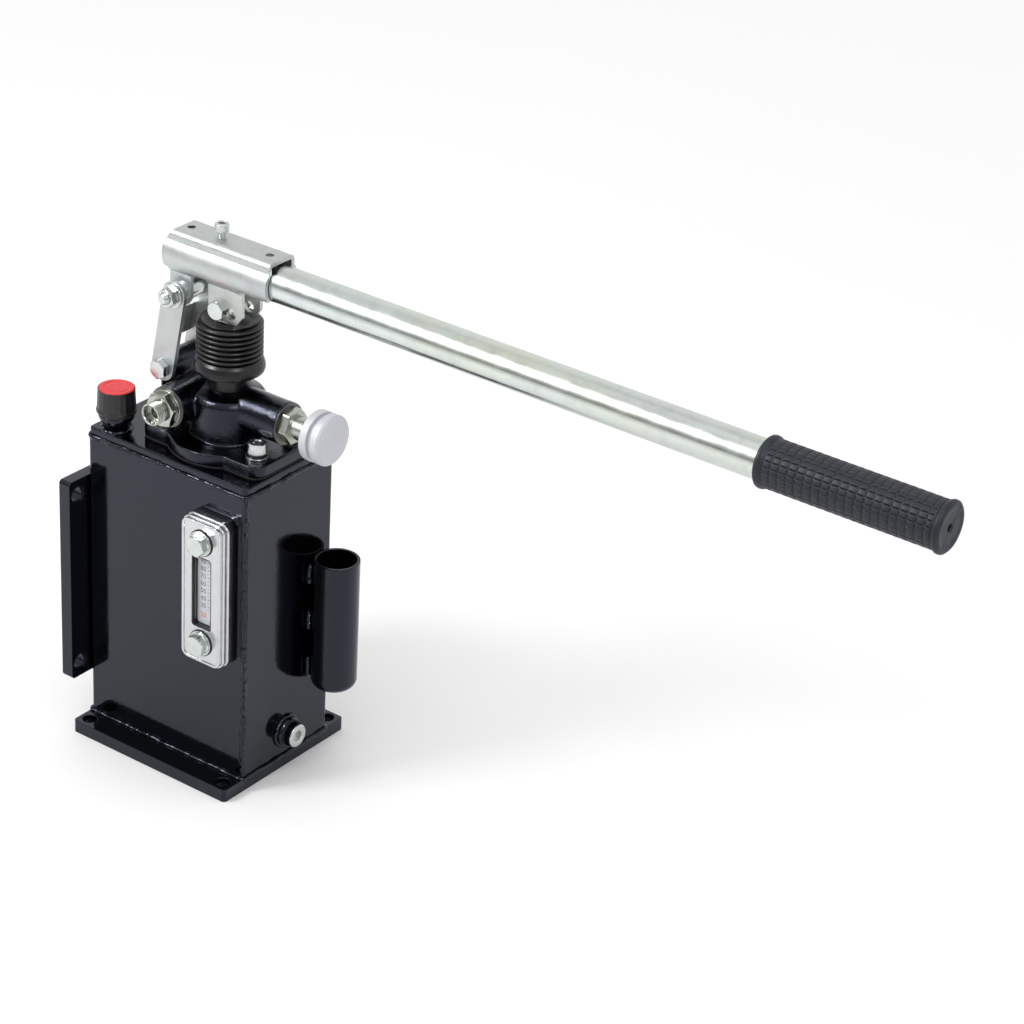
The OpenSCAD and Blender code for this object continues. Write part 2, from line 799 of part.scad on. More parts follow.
module link_lower_bolt() {
  color(zinc) cross_bolt(link_low_x, link_low_z, link_outer + 0.2, link_outer + 0.2 + pivot_nut_h + 3);
}

module link_lower_nut() {
  color(zinc) translate([link_low_x, link_outer + 0.2 + pivot_nut_h, link_low_z])
    to_gauge_side() hex_nut(pivot_af, pivot_nut_h, pivot_d + 2 * snug);
}

// The upper bolt's head is on the far side, and its end shows on the near side
module link_upper_bolt() {
  reach = link_outer + 0.2 + washer_t + snug;
  color(zinc) mirror([0, 1, 0]) cross_bolt(link_top_x, link_top_z, reach, reach + pivot_nut_h + 3.5);
}

ear_inner = 8;
ear_outer = ear_inner + holder_t;
spacer_t = link_inner - ear_outer - 0.3;

module linkage_nuts() {
  color(zinc) {
    translate([link_top_x, -link_outer - 0.2 - washer_t - 2 * snug, link_top_z])
      to_gauge_side() hex_nut(pivot_af, pivot_nut_h, pivot_d + 2 * snug);
    translate([pump_x, ear_outer + pivot_nut_h + snug, pin_z])
      to_gauge_side() hex_nut(pivot_af, pivot_nut_h, pivot_d + 2 * snug);
  }
}

module linkage_washers() {
  color(zinc) for (s = [-1, 1]) {
    translate([link_top_x, s > 0 ? link_outer + 0.2 + washer_t : -link_outer - 0.2, link_top_z])
      to_gauge_side() ring(8.8, pivot_d / 2 + snug, washer_t);
    translate([link_top_x, s > 0 ? ear_outer + snug + spacer_t : -ear_outer - snug, link_top_z])
      to_gauge_side() ring(8, pivot_d / 2 + snug, spacer_t);
  }
}

module ear_bush() {
  color(zinc) translate([link_top_x, ear_inner - snug, link_top_z])
    to_gauge_side() ring(8, pivot_d / 2 + snug, 2 * ear_inner - 2 * snug);
}

module piston_pin_bolt() {
  color(zinc) cross_bolt(pump_x, pin_z, ear_outer + snug, ear_outer + pivot_nut_h + 2.5);
}

// ---- lever holder ----

holder_low_x = -31;
holder_high_x = 62.5;
holder_top = lever_z + 18.2;
holder_r = 17;
holder_side = 13.3;
skirt_low = lever_z - 9.5;
ear_low = pin_z - 8;
ear_low_x = 6.5;
ear_high_x = 37;
spare_hole_dx = 10;
top_holes = [-18.5, 52];
lock_x = 9;
lock_d = 6;

// Section of the bent sheet across the lever, centred on the lever's axis: outside, then inside
module holder_outside() {
  depth = lever_z - ear_low + 20;
  circle(holder_r);
  translate([0, (holder_top - lever_z) / 2]) rounded_rect(2 * holder_side, holder_top - lever_z, 4);
  translate([-ear_outer, -depth]) square([2 * ear_outer, depth]);
}

module holder_inside() {
  depth = lever_z - ear_low + 30;
  top = holder_top - lever_z - holder_t;
  circle(holder_r - holder_t);
  translate([0, top / 2]) rounded_rect(2 * (holder_side - holder_t), top, 1.5);
  translate([-ear_inner, -depth]) square([2 * ear_inner, depth]);
}

// Side view of the sheet: the trough, the rear ears and the front ears
module holder_side_view() {
  polygon([[holder_low_x, skirt_low], [holder_high_x, skirt_low], [holder_high_x, holder_top + 1],
    [holder_low_x + 6.5, holder_top + 1], [holder_low_x, holder_top - 9]]);
  translate([link_top_x, link_top_z]) circle(9.5);
  translate([link_top_x - 9.5, link_top_z]) square([19, skirt_low - link_top_z + 1]);
  polygon([[ear_low_x, pin_z], [pump_x, pin_z], [pump_x, ear_low], [ear_high_x - 5, ear_low],
    [ear_high_x, ear_low + 7], [ear_high_x, skirt_low + 1], [ear_low_x, skirt_low + 1]]);
  intersection() {
    translate([pump_x, pin_z]) circle(10.5);
    translate([ear_low_x, ear_low]) square([pump_x - ear_low_x + 1, 20]);
  }
}

module lever_holder() {
  color(zinc) difference() {
    intersection() {
      translate([holder_low_x - 5, 0, lever_z]) rotate([90, 0, 90])
        linear_extrude(holder_high_x - holder_low_x + 10) difference() {
          holder_outside();
          holder_inside();
        }
      translate([0, 30, 0]) to_gauge_side() linear_extrude(60) holder_side_view();
    }
    for (x = top_holes) translate([x, 0, lever_z]) cylinder(d = 6, h = 30);
    translate([lock_x, 0, lever_z]) cylinder(d = lock_d + 2 * running, h = 30);
    translate([pump_x, 20, pin_z]) to_gauge_side() cylinder(r = pivot_d / 2 + snug, h = 40);
    translate([pump_x + spare_hole_dx, 20, pin_z - 1]) to_gauge_side() cylinder(r = 4.2, h = 40);
    translate([link_top_x, 20, link_top_z]) to_gauge_side() cylinder(r = pivot_d / 2 + snug, h = 40);
  }
}

module lock_screw() {
  shank = 9.5;
  color(zinc) translate([lock_x, 0, lever_z + lever_d / 2 + 0.3 + shank]) socket_screw(lock_d, shank, 10, 6, 5);
}

// ---- lever ----

lever_start = holder_low_x + 3;
grip_start = lever_end - grip_length;
grip_cap_t = 4;
grip_body_r = grip_d / 2 - 1.4;

module lever_tube() {
  color(zinc) translate([lever_start, 0, lever_z]) to_lever_side()
    ring(lever_d / 2, lever_d / 2 - lever_wall, lever_end - grip_cap_t - lever_start - snug);
}

module lever_grip() {
  flange = 5;
  color(rubber_black) translate([grip_start, 0, lever_z]) to_lever_side() difference() {
    union() {
      cylinder(r = grip_body_r, h = grip_length - 1);
      translate([0, 0, 1]) cylinder(d = grip_d, h = flange - 1);
      cylinder(d1 = grip_d - 2, d2 = grip_d, h = 1);
      translate([0, 0, grip_length - flange]) cylinder(d = grip_d, h = flange - 2);
      translate([0, 0, grip_length - 2]) cylinder(d1 = grip_d, d2 = grip_d - 4, h = 2);
    }
    translate([0, 0, -1]) cylinder(r = lever_d / 2 + snug, h = grip_length - grip_cap_t + 1);
    cylinder(r = 2.5, h = grip_length + 1);
  }
}

// ---- assembly ----

base_plate();
tank_shell();
tank_top_plate();
tank_welds();
wall_mount_plate();
lever_storage_tube();
storage_tube_welds();
filler_neck();
filler_strainer();
filler_gasket();
filler_cap();
filler_cap_disc();
gauge_housing();
gauge_frame();
gauge_window();
gauge_card();
gauge_bolts();
gauge_washers();
gauge_seals();
drain_boss();
drain_plug();
drain_seal();
pump_body();
foot_gasket();
foot_screws();
foot_spring_washers();
foot_washers();
suction_ball();
suction_spring();
suction_tube();
suction_strainer();
delivery_ball();
delivery_spring();
pressure_fitting();
port_washer();
release_cartridge();
release_o_ring();
release_spindle();
release_knob();
gland_bush();
rod_seal();
rod_wiper();
piston_rod();
piston_seal();
bellows();
link_near();
link_far();
link_web();
link_lower_bolt();
link_lower_nut();
link_upper_bolt();
linkage_nuts();
linkage_washers();
ear_bush();
piston_pin_bolt();
lever_holder();
lock_screw();
lever_tube();
lever_grip();
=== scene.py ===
"""Looks of the hydraulic hand pump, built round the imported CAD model.

Lengths in the mesh helpers are millimetres; every Blender object is in metres.
"""

import random
from math import atan2, cos, pi, radians, sin, sqrt, tan

import bmesh
import bpy
import numpy as np
from mathutils import Matrix, Vector, noise


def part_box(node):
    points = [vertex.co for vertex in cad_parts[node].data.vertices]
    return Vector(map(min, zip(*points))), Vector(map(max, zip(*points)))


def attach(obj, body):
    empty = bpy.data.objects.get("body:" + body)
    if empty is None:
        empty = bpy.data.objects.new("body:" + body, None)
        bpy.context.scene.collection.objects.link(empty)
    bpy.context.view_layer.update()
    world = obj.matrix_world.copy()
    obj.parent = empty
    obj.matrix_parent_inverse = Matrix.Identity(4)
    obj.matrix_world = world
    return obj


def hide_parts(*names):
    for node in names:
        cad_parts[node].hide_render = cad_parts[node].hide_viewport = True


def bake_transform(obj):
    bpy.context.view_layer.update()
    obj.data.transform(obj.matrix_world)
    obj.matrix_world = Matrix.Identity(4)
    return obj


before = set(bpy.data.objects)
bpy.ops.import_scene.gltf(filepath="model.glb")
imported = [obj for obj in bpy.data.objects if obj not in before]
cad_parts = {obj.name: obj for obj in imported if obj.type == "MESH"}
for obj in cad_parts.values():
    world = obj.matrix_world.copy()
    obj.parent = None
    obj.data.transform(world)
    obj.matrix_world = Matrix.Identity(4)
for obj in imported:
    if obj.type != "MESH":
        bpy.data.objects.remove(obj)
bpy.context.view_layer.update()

MM = 0.001
COOL = (0.66, 0.73, 0.95, 1)
BRIGHTEST = 1.7
MERGE_DISTANCE = 2e-6
UP = Vector((0, 0, 1))
GAUGE_SIDE = Vector((0, -1, 0))
FAR_SIDE = Vector((0, 1, 0))
LEVER_SIDE = Vector((1, 0, 0))
FLAT = (1, 0, 0), (0, 1, 0)
UPRIGHT = (1, 0, 0), (0, 0, 1)
M8_RADIUS, M8_PITCH, M8_THREAD_DEPTH = 4, 1.25, 0.7
M8_FLATS, M8_HEAD, M8_NUT, M8_HOLE = 13, 5.4, 6.5, 4.02

scene = bpy.context.scene


# --- places from the frame


def low(node):
    """Lowest corner of a CAD node, in millimetres."""
    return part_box(node)[0] / MM


def high(node):
    """Highest corner of a CAD node, in millimetres."""
    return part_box(node)[1] / MM


def middle(node):
    """Centre of a CAD node's box, in millimetres."""
    return (low(node) + high(node)) / 2


def size(node):
    """Lengths of a CAD node's box, in millimetres."""
    return high(node) - low(node)


# --- outlines


def eased(points, radius, steps=4):
    """A polyline with rounded inner corners, and a close point at each end of every long straight."""
    out = [points[0]]
    for before, corner, after in zip(points, points[1:], points[2:]):
        b, c, a = (np.array(p, float) for p in (before, corner, after))
        to_b = np.linalg.norm(b - c)
        to_a = np.linalg.norm(a - c)
        reach = min(radius, 0.45 * to_b, 0.45 * to_a)
        if reach < 1e-4:
            out.append(tuple(c))
            continue
        start = c + (b - c) / to_b * reach
        end = c + (a - c) / to_a * reach
        for i in range(steps + 1):
            t = i / steps
            out.append(tuple((1 - t) ** 2 * start + 2 * t * (1 - t) * c + t * t * end))
    out.append(points[-1])
    return supported(out)


def supported(points, gap=0.15, long=1.0):
    """Adds a point near each end of every long straight, so that its shading stays flat."""
    out = [points[0]]
    for p, q in zip(points, points[1:]):
        a, b = np.array(p, float), np.array(q, float)
        length = np.linalg.norm(b - a)
        if length > long:
            out.append(tuple(a + (b - a) * gap / length))
            out.append(tuple(b - (b - a) * gap / length))
        out.append(q)
    return out


def rounded_rectangle(width, height, radius, centre=(0, 0), steps=8):
    """Outline of a rectangle with round corners, anticlockwise."""
    cx, cy = centre
    points = []
    corners = ((1, 1, 0), (-1, 1, 90), (-1, -1, 180), (1, -1, 270))
    for sx, sy, turn in corners:
        x = cx + sx * (width / 2 - radius)
        y = cy + sy * (height / 2 - radius)
        for i in range(steps + 1):
            a = radians(turn + 90 * i / steps)
            points.append((x + radius * cos(a), y + radius * sin(a)))
    return points


def circle(radius, centre=(0, 0), steps=48):
    """A hole's outline, clockwise."""
    cx, cy = centre
    turns = [-2 * pi * i / steps for i in range(steps)]
    return [(cx + radius * cos(a), cy + radius * sin(a)) for a in turns]


def ring(radius, centre, steps):
    """Points round a circle, anticlockwise."""
    cx, cy = centre
    turns = np.linspace(0, 2 * pi, steps + 1)[:-1]
    return [(cx + radius * cos(a), cy + radius * sin(a)) for a in turns]


# --- mesh makers: (points, faces) in millimetres


def axes(direction):
    """Two unit vectors across a direction."""
    d = Vector(direction).normalized()
    side = Vector((0, 0, 1)) if abs(d.z) < 0.9 else Vector((1, 0, 0))
    u = side.cross(d).normalized()
    return u, d.cross(u).normalized(), d


def placed(points, origin, direction):
    """Points given across and along a direction, put at an origin."""
    u, v, d = axes(direction)
    return [Vector(origin) + u * x + v * y + d * z for x, y, z in points]


def ring_grid(rings, steps, closed_loop=False):
    """Faces of a stack of rings of vertices; a ring of one vertex is a pole."""
    faces = []
    starts = [0]
    for n in rings:
        starts.append(starts[-1] + n)
    for k in range(len(rings) if closed_loop else len(rings) - 1):
        j = (k + 1) % len(rings)
        a, b = starts[k], starts[j]
        for i in range(steps):
            n = (i + 1) % steps
            if rings[k] == 1 and rings[j] == 1:
                continue
            if rings[k] == 1:
                faces.append((a, b + n, b + i))
            elif rings[j] == 1:
                faces.append((a + i, a + n, b))
            else:
                faces.append((a + i, a + n, b + n, b + i))
    return faces


class Rings:
    """A stack of rings and poles along an axis, skinned into one surface."""

    def __init__(self, steps):
        self.points, self.rings, self.steps = [], [], steps

    def pole(self, height):
        self.points.append((0, 0, height))
        self.rings.append(1)

    def add(self, radius_of, height_of):
        """A ring; the radius may depend on the turn i and its angle, the height on the radius."""
        for i in range(self.steps):
            a = 2 * pi * i / self.steps
            r = radius_of(i, a)
            self.points.append((r * cos(a), r * sin(a), height_of(r)))
        self.rings.append(self.steps)

    def turned(self, outline):
        """Rings through (radius, height) points."""
        for r, h in outline:
            if r < 1e-6:
                self.pole(h)
            else:
                self.add(lambda i, a: r, lambda q: h)

    def shape(self, origin, direction, loop=False):
        grid = ring_grid(self.rings, self.steps, loop)
        return placed(self.points, origin, direction), grid


def lathe(outline, origin, direction, steps=64, loop=False):
    """A surface turned from (radius, height) points. A loop outline makes a ring."""
    made = Rings(steps)
    made.turned(outline)
    return made.shape(origin, direction, loop)


def washer(outer, inner, thickness, origin, direction, ease=0.25, steps=64):
    """A flat ring with eased edges."""
    loop = [(inner, 0), (outer, 0), (outer, thickness), (inner, thickness), (inner, 0)]
    start = ((inner + outer) / 2, 0)
    outline = eased([start] + loop[1:] + [start], ease)[:-1]
    return lathe(outline, origin, direction, steps, loop=True)


def hex_radius(a, flats, turn=0.0):
    """Distance to a hexagon's side at angle a."""
    sector = radians(60)
    return flats / 2 / cos((a - turn) % sector - sector / 2)


def hex_prism(flats, height, origin, direction, turn=0.0, bore=0.0, foot_chamfer=False):
    """A hexagon with its corners turned off at nearly 30 degrees, as on a bolt head or a nut."""
    made = Rings(96)
    flat_r = flats * 0.475
    slope = tan(radians(28))

    def side(i, a):
        return hex_radius(a, flats, turn)

    def inset(i, a):
        return side(i, a) - 0.12

    def crown(r):
        return height - max(0.0, r - flat_r) * slope

    def foot(r):
        return max(0.0, r - flat_r) * slope if foot_chamfer else 0.0

    made.turned([(bore, 0.0), (flat_r, 0.0)])
    made.add(inset, foot)
    made.add(side, lambda r: foot(r) + 0.12)
    made.add(side, lambda r: crown(r) - 0.15)
    made.add(inset, lambda r: crown(r) + 0.02)
    made.turned([(flat_r + 0.1, height - 0.03), (flat_r - 0.25, height)])
    made.turned([(bore + 0.5, height), (bore, height - 0.5)] if bore else [(0, height)])
    return made.shape(origin, direction, bool(bore))


def thread_cut(h, pitch, share, depth):
    """Depth of a thread's groove at a height and a share of a turn."""
    phase = (h / pitch - share) % 1.0
    return depth * min(1.0, max(0.0, 1.0 - abs(phase - 0.5) * 3.0))


def thread(radius, pitch, length, origin, direction, depth, end_taper=1.0):
    """A screw thread as a cylinder whose surface follows the helix, with a chamfered far end."""
    made = Rings(48)
    rows = int(length / pitch * 8)
    made.pole(0)
    for k in range(rows + 1):
        h = length * k / rows
        taper = max(0.0, h - (length - end_taper))
        made.add(lambda i, a: radius - max(thread_cut(h, pitch, i / 48, depth), taper), lambda r: h)
    made.pole(length)
    return made.shape(origin, direction)


def socket_head(diameter, height, flats, origin, direction, knurl=0):
    """A cap screw's head with a hexagon socket, and fine knurls round it if asked."""
    made = Rings(96)
    r = diameter / 2
    depth = height * 0.5

    def rim(i, a):
        return r - (0.18 * (0.5 + 0.5 * cos(a * knurl)) if knurl else 0)

    def socket(i, a):
        return hex_radius(a, flats)

    made.turned([(0, 0), (r - 0.4, 0)])
    made.add(rim, lambda q: 0.4)
    made.add(rim, lambda q: height - 0.9)
    made.turned([(r - 0.25, height - 0.4), (r - 0.8, height)])
    made.turned([(flats * 0.62, height), (flats * 0.58, height - 0.25)])
    made.add(socket, lambda q: height - 0.35)
    made.add(socket, lambda q: height - depth)
    made.pole(height - depth - 0.8)
    return made.shape(origin, direction)


def bead(path, radius, rng, ripple=2.4, closed=False, flat=1.0):
    """A weld bead: a tube along a path, rippled and uneven, as the weld pool leaves it."""
    around = 12
    step = 0.55
    line = []
    for p, q in zip(path, path[1:] + ([path[0]] if closed else [])):
        p, q = Vector(p), Vector(q)
        count = max(1, int((q - p).length / step))
        line.extend(p.lerp(q, i / count) for i in range(count))
    if not closed:
        line.append(Vector(path[-1]))
    seed = Vector((rng.uniform(0, 50), rng.uniform(0, 50), rng.uniform(0, 50)))
    points, rings = [], []
    total = len(line)
    if not closed:
        points.append(tuple(line[0]))
        rings.append(1)
    for k, p in enumerate(line):
        ahead = line[(k + 1) % total] if closed else line[min(k + 1, total - 1)]
        behind = line[k - 1] if (closed or k) else line[0]
        u, v, d = axes(ahead - behind)
        s = k * step
        wave = sin(2 * pi * s / ripple) ** 2
        pool = (0.10 + 0.16 * noise.noise(seed + p * 0.21)) * wave
        wander = 0.28 * noise.noise(seed + p * 0.18) + 0.1 * noise.noise(seed + p * 0.9)
        from_end = min(k, total - 1 - k) + 0.3
        ends = 1.0 if closed else min(1.0, sqrt(from_end * step / radius))
        r = radius * (1 + wander - pool) * ends
        drift = u * noise.noise(seed * 2 + p * 0.12) + v * noise.noise(seed * 3 + p * 0.15)
        spot = p + drift * radius * 0.35
        for i in range(around):
            a = 2 * pi * i / around
            round_it = Vector((cos(a), sin(a), 0)) * 2
            lump = 1 + 0.08 * noise.noise(seed + p * 0.5 + round_it)
            points.append(tuple(spot + (u * cos(a) * flat + v * sin(a)) * r * lump))
        rings.append(around)
    if not closed:
        points.append(tuple(line[-1]))
        rings.append(1)
    return [Vector(p) for p in points], ring_grid(rings, around, closed)


def joined(*shapes):
    """Several (points, faces) as one."""
    points, faces = [], []
    for p, f in shapes:
        shift = len(points)
        points.extend(p)
        faces.extend(tuple(i + shift for i in face) for face in f)
    return points, faces


# --- objects


def placed_object(name, data):
    """A new object in the scene."""
    obj = bpy.data.objects.new(name, data)
    scene.collection.objects.link(obj)
    return obj


def evaluated_mesh(scratch):
    """The mesh of an object with its modifiers applied; the object itself is removed."""
    graph = bpy.context.evaluated_depsgraph_get()
    mesh = bpy.data.meshes.new_from_object(scratch.evaluated_get(graph))
    bpy.data.objects.remove(scratch)
    return mesh


def merge_doubles(mesh, more=None):
    """Merges a mesh's double vertices, and edits it further if asked."""
    work = bmesh.new()
    work.from_mesh(mesh)
    bmesh.ops.remove_doubles(work, verts=work.verts, dist=MERGE_DISTANCE)
    if more:
        more(work)
    work.to_mesh(mesh)
    work.free()


def make(name, shape, material, body="root", stands_for=None, sharp=40, weighted=True):
    """A finished piece from (points, faces) in millimetres, riding on its body."""
    points, faces = shape
    mesh = bpy.data.meshes.new(name)
    mesh.from_pydata([tuple(Vector(p) * MM) for p in points], [], faces)
    obj = placed_object(name, mesh)
    tidy_mesh(mesh, sharp)
    return dress(obj, material, body, stands_for, weighted)


def weld(name, *beads):
    """Weld beads as one painted piece."""
    make(name, joined(*beads), PAINT, sharp=60, weighted=False)


def tidy_mesh(mesh, sharp):
    """Merges doubles, turns faces outwards and marks edges that are sharper than an angle."""
    work = bmesh.new()
    work.from_mesh(mesh)
    bmesh.ops.remove_doubles(work, verts=work.verts, dist=1e-6)
    bmesh.ops.recalc_face_normals(work, faces=work.faces)
    limit = radians(sharp)
    for face in work.faces:
        face.smooth = True
    for edge in work.edges:
        edge.smooth = not (edge.is_manifold and edge.calc_face_angle(0) > limit)
    work.to_mesh(mesh)
    work.free()


def dress(obj, material, body, stands_for=None, weighted=True):
    """Gives a piece its material and its body, and hides the CAD node that it stands for.

    That node is the one of the piece's own name in small letters, if no other is given.
    """
    obj.data.materials.clear()
    obj.data.materials.append(material)
    if weighted:
        shade = obj.modifiers.new("flat_faces", "WEIGHTED_NORMAL")
        shade.keep_sharp = True
    if body:
        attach(obj, body)
    node = stands_for or obj.name.lower()
    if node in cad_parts:
        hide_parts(node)
    return obj


def plate(name, loops, thickness, ease, origin, plane, material, body="root", stands_for=None):
    """A flat plate with eased edges, from an outline and its holes.

    The origin is on its mid plane, and plane is the pair of directions of its outline's axes.
    """
    curve = bpy.data.curves.new(name, "CURVE")
    curve.dimensions = "2D"
    curve.fill_mode = "BOTH"
    curve.extrude = (thickness / 2 - ease) * MM
    curve.bevel_depth = ease * MM
    curve.bevel_resolution = 2
    curve.offset = -ease * MM
    for loop in loops:
        spline = curve.splines.new("POLY")
        spline.points.add(len(loop) - 1)
        for point, (x, y) in zip(spline.points, loop):
            point.co = (x * MM, y * MM, 0, 1)
        spline.use_cyclic_u = True
    mesh = evaluated_mesh(placed_object(name + "_curve", curve))
    x, y = Vector(plane[0]), Vector(plane[1])
    turn = Matrix((x, y, x.cross(y))).transposed().to_4x4()
    mesh.transform(Matrix.Translation(Vector(origin) * MM) @ turn)
    mesh.name = name
    obj = placed_object(name, mesh)
    tidy_mesh(mesh, 50)
    return dress(obj, material, body, stands_for)


def cad_copy(name, ease, material, body="root", sharp=30, node=None):
    """A CAD node's own shape with its edges eased, standing for the node."""
    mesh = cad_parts[node or name.lower()].data.copy()
    mesh.name = name
    flat = radians(0.6)
    merge_doubles(mesh, lambda work: bmesh.ops.dissolve_limit(
        work, angle_limit=flat, verts=work.verts, edges=work.edges))
    if mesh.attributes.get("custom_normal"):
        mesh.attributes.remove(mesh.attributes["custom_normal"])
    obj = placed_object(name, mesh)
    tidy_mesh(mesh, 180)
    edge = obj.modifiers.new("eased_edges", "BEVEL")
    edge.limit_method = "ANGLE"
    edge.angle_limit = radians(sharp)
    edge.width = ease * MM
    edge.segments = 3
    edge.use_clamp_overlap = True
    dress(obj, material, body, node)


# --- materials


class Shader:
    """A node material with a Principled shader and helpers for its procedural inputs."""

    def __init__(self, name):
        self.material = bpy.data.materials.new(name)
        self.material.use_nodes = True
        self.tree = self.material.node_tree
        self.shader = self.tree.nodes["Principled BSDF"]
        self.place = self.node("ShaderNodeTexCoord").outputs["Object"]
        self.bump_out = None

    def node(self, kind, **values):
        made = self.tree.nodes.new(kind)
        for key, value in values.items():
            if hasattr(made, key):
                setattr(made, key, value)
            else:
                made.inputs[key.replace("_", " ")].default_value = value
        return made

    def link(self, out, into):
        self.tree.links.new(out, into)

    def set(self, **values):
        for key, value in values.items():
            self.shader.inputs[key.replace("_", " ")].default_value = value

    def stretched(self, factors):
        """Object coordinates scaled along each axis."""
        mapping = self.node("ShaderNodeMapping")
        mapping.inputs["Scale"].default_value = factors
        self.link(self.place, mapping.inputs["Vector"])
        return mapping.outputs["Vector"]

    def noise(self, scale, detail=3.0, rough=0.55, stretch=None, distortion=0.0):
        texture = self.node("ShaderNodeTexNoise", Scale=scale, Detail=detail, Roughness=rough,
                            Distortion=distortion)
        self.link(self.stretched(stretch) if stretch else self.place, texture.inputs["Vector"])
        return texture.outputs["Fac"]

    def ramp(self, value, low_at, high_at, low_value, high_value):
        """Maps a range of a value to another range, clamped."""
        node = self.node("ShaderNodeMapRange", From_Min=low_at, From_Max=high_at,
                         To_Min=low_value, To_Max=high_value)
        self.link(value, node.inputs["Value"])
        return node.outputs["Result"]

    def blend(self, factor, first, second):
        """Mixes two colours, or a colour and a colour output."""
        node = self.node("ShaderNodeMix", data_type="RGBA")
        self.link(factor, node.inputs["Factor"])
        for socket, colour in ((node.inputs[6], first), (node.inputs[7], second)):
            if isinstance(colour, tuple):
                socket.default_value = (*colour, 1)
            else:
                self.link(colour, socket)
        return node.outputs[2]

    def colour(self, out):
        self.link(out, self.shader.inputs["Base Color"])

    def roughness(self, out):
        self.link(out, self.shader.inputs["Roughness"])

    def uneven(self, scale, detail, rough):
        """Roughness that varies between two values."""
        self.roughness(self.ramp(self.noise(scale, detail), 0.3, 0.7, *rough))

    def mottled(self, scale, detail, low_at, high_at, share, tone, other):
        """Colour of one tone with cloudy patches of another."""
        patches = self.ramp(self.noise(scale, detail), low_at, high_at, 0, share)
        self.colour(self.blend(patches, tone, other))

    def bump(self, height, distance):
        """Adds one more layer of bump, in metres."""
        node = self.node("ShaderNodeBump", Strength=1.0, Distance=distance)
        self.link(height, node.inputs["Height"])
        if self.bump_out:
            self.link(self.bump_out, node.inputs["Normal"])
        self.bump_out = node.outputs["Normal"]
        self.link(self.bump_out, self.shader.inputs["Normal"])


def gloss_paint(name, tone=(0.0008, 0.0009, 0.0014), rough=(0.06, 0.13), peel=0.00002):
    """Black paint with a wet gloss, a faint orange peel and dust specks."""
    s = Shader(name)
    s.set(Specular_IOR_Level=0.5, Specular_Tint=COOL)
    broad = s.noise(18, 4)
    fine = s.noise(900, 2)
    specks = s.ramp(s.noise(2600, 1), 0.74, 0.8, 0, 1)
    s.colour(s.blend(specks, tone, tuple(c * 2.2 + 0.003 for c in tone)))
    s.roughness(s.ramp(broad, 0.35, 0.7, *rough))
    s.bump(s.noise(330, 2), peel * 2.2)
    s.bump(fine, peel * 0.6)
    return s.material


def cast_paint(name):
    """Gloss black paint over a sand casting: lumps and pits under a wet shine."""
    s = Shader(name)
    s.set(Specular_IOR_Level=0.5, Specular_Tint=COOL)
    tone = (0.0006, 0.0007, 0.0009)
    s.mottled(60, 4, 0.45, 0.7, 1, tone, (0.0014, 0.0015, 0.002))
    s.roughness(s.ramp(s.noise(220, 3), 0.35, 0.7, 0.05, 0.12))
    s.bump(s.noise(260, 4, 0.6), 0.00022)
    s.bump(s.noise(1100, 3, 0.6), 0.00013)
    pits = s.node("ShaderNodeTexVoronoi", Scale=420.0)
    s.link(s.place, pits.inputs["Vector"])
    s.bump(s.ramp(pits.outputs["Distance"], 0.0, 0.35, 0, 1), 0.00005)
    return s.material


def zinc(name, base, rough=(0.16, 0.3), grain=(1, 1, 1), grain_scale=600, tint=0.5, spangle=0.00002):
    """Bright zinc plate with a faint yellow, green and violet tint and a brushed grain."""
    s = Shader(name)
    s.set(Metallic=1.0)

    def tinted(*shares):
        return tuple(c * share for c, share in zip(base, shares))

    cloud = s.noise(26, 3, 0.55, stretch=tuple(0.25 if g < 1 else 1 for g in grain), distortion=0.6)
    other = s.noise(11, 2, 0.5, stretch=tuple(0.3 if g < 1 else 1 for g in grain))
    yellow = s.blend(s.ramp(cloud, 0.42, 0.62, 0, tint), base, tinted(1.0, 0.985, 0.86))
    violet = s.blend(s.ramp(other, 0.48, 0.66, 0, tint), yellow, tinted(0.955, 0.93, 1.0))
    green = s.ramp(s.noise(40, 2), 0.55, 0.7, 0, tint * 0.7)
    plated = s.blend(green, violet, tinted(0.94, 1.0, 0.95))
    stain = s.ramp(s.noise(95, 6, 0.7), 0.46, 0.72, 0, 0.42)
    s.colour(s.blend(stain, plated, tinted(0.70, 0.70, 0.70)))
    s.uneven(70, 4, rough)
    s.bump(s.noise(grain_scale, 3, 0.6, stretch=grain), spangle)
    s.bump(s.noise(190, 3, 0.6), spangle * 1.5)
    return s.material


def bright_metal(name, tone, rough, turned=None, scratch=0.00001):
    """Machined or polished metal; turned is the stretch that makes its tool marks."""
    s = Shader(name)
    s.set(Metallic=1.0)
    darker = tuple(c * 0.86 for c in tone)
    s.mottled(90, 4, 0.45, 0.75, 0.6, tone, darker)
    s.uneven(160, 4, rough)
    s.bump(s.noise(1200, 2, 0.5, stretch=turned or (1, 1, 1)), scratch)
    return s.material


def knob_metal(name):
    """Blasted aluminium, light and matt, with a few small dark nicks."""
    s = Shader(name)
    s.set(Metallic=0.6)
    nick = s.ramp(s.noise(420, 2), 0.735, 0.76, 0, 1)
    tone = s.blend(s.ramp(s.noise(30, 3), 0.4, 0.7, 0, 1), (0.60, 0.605, 0.635), (0.545, 0.55, 0.58))
    s.colour(s.blend(nick, tone, (0.35, 0.34, 0.34)))
    s.uneven(260, 4, (0.62, 0.75))
    s.bump(s.noise(2400, 2), 0.00003)
    s.bump(s.noise(500, 3), 0.00002)
    return s.material


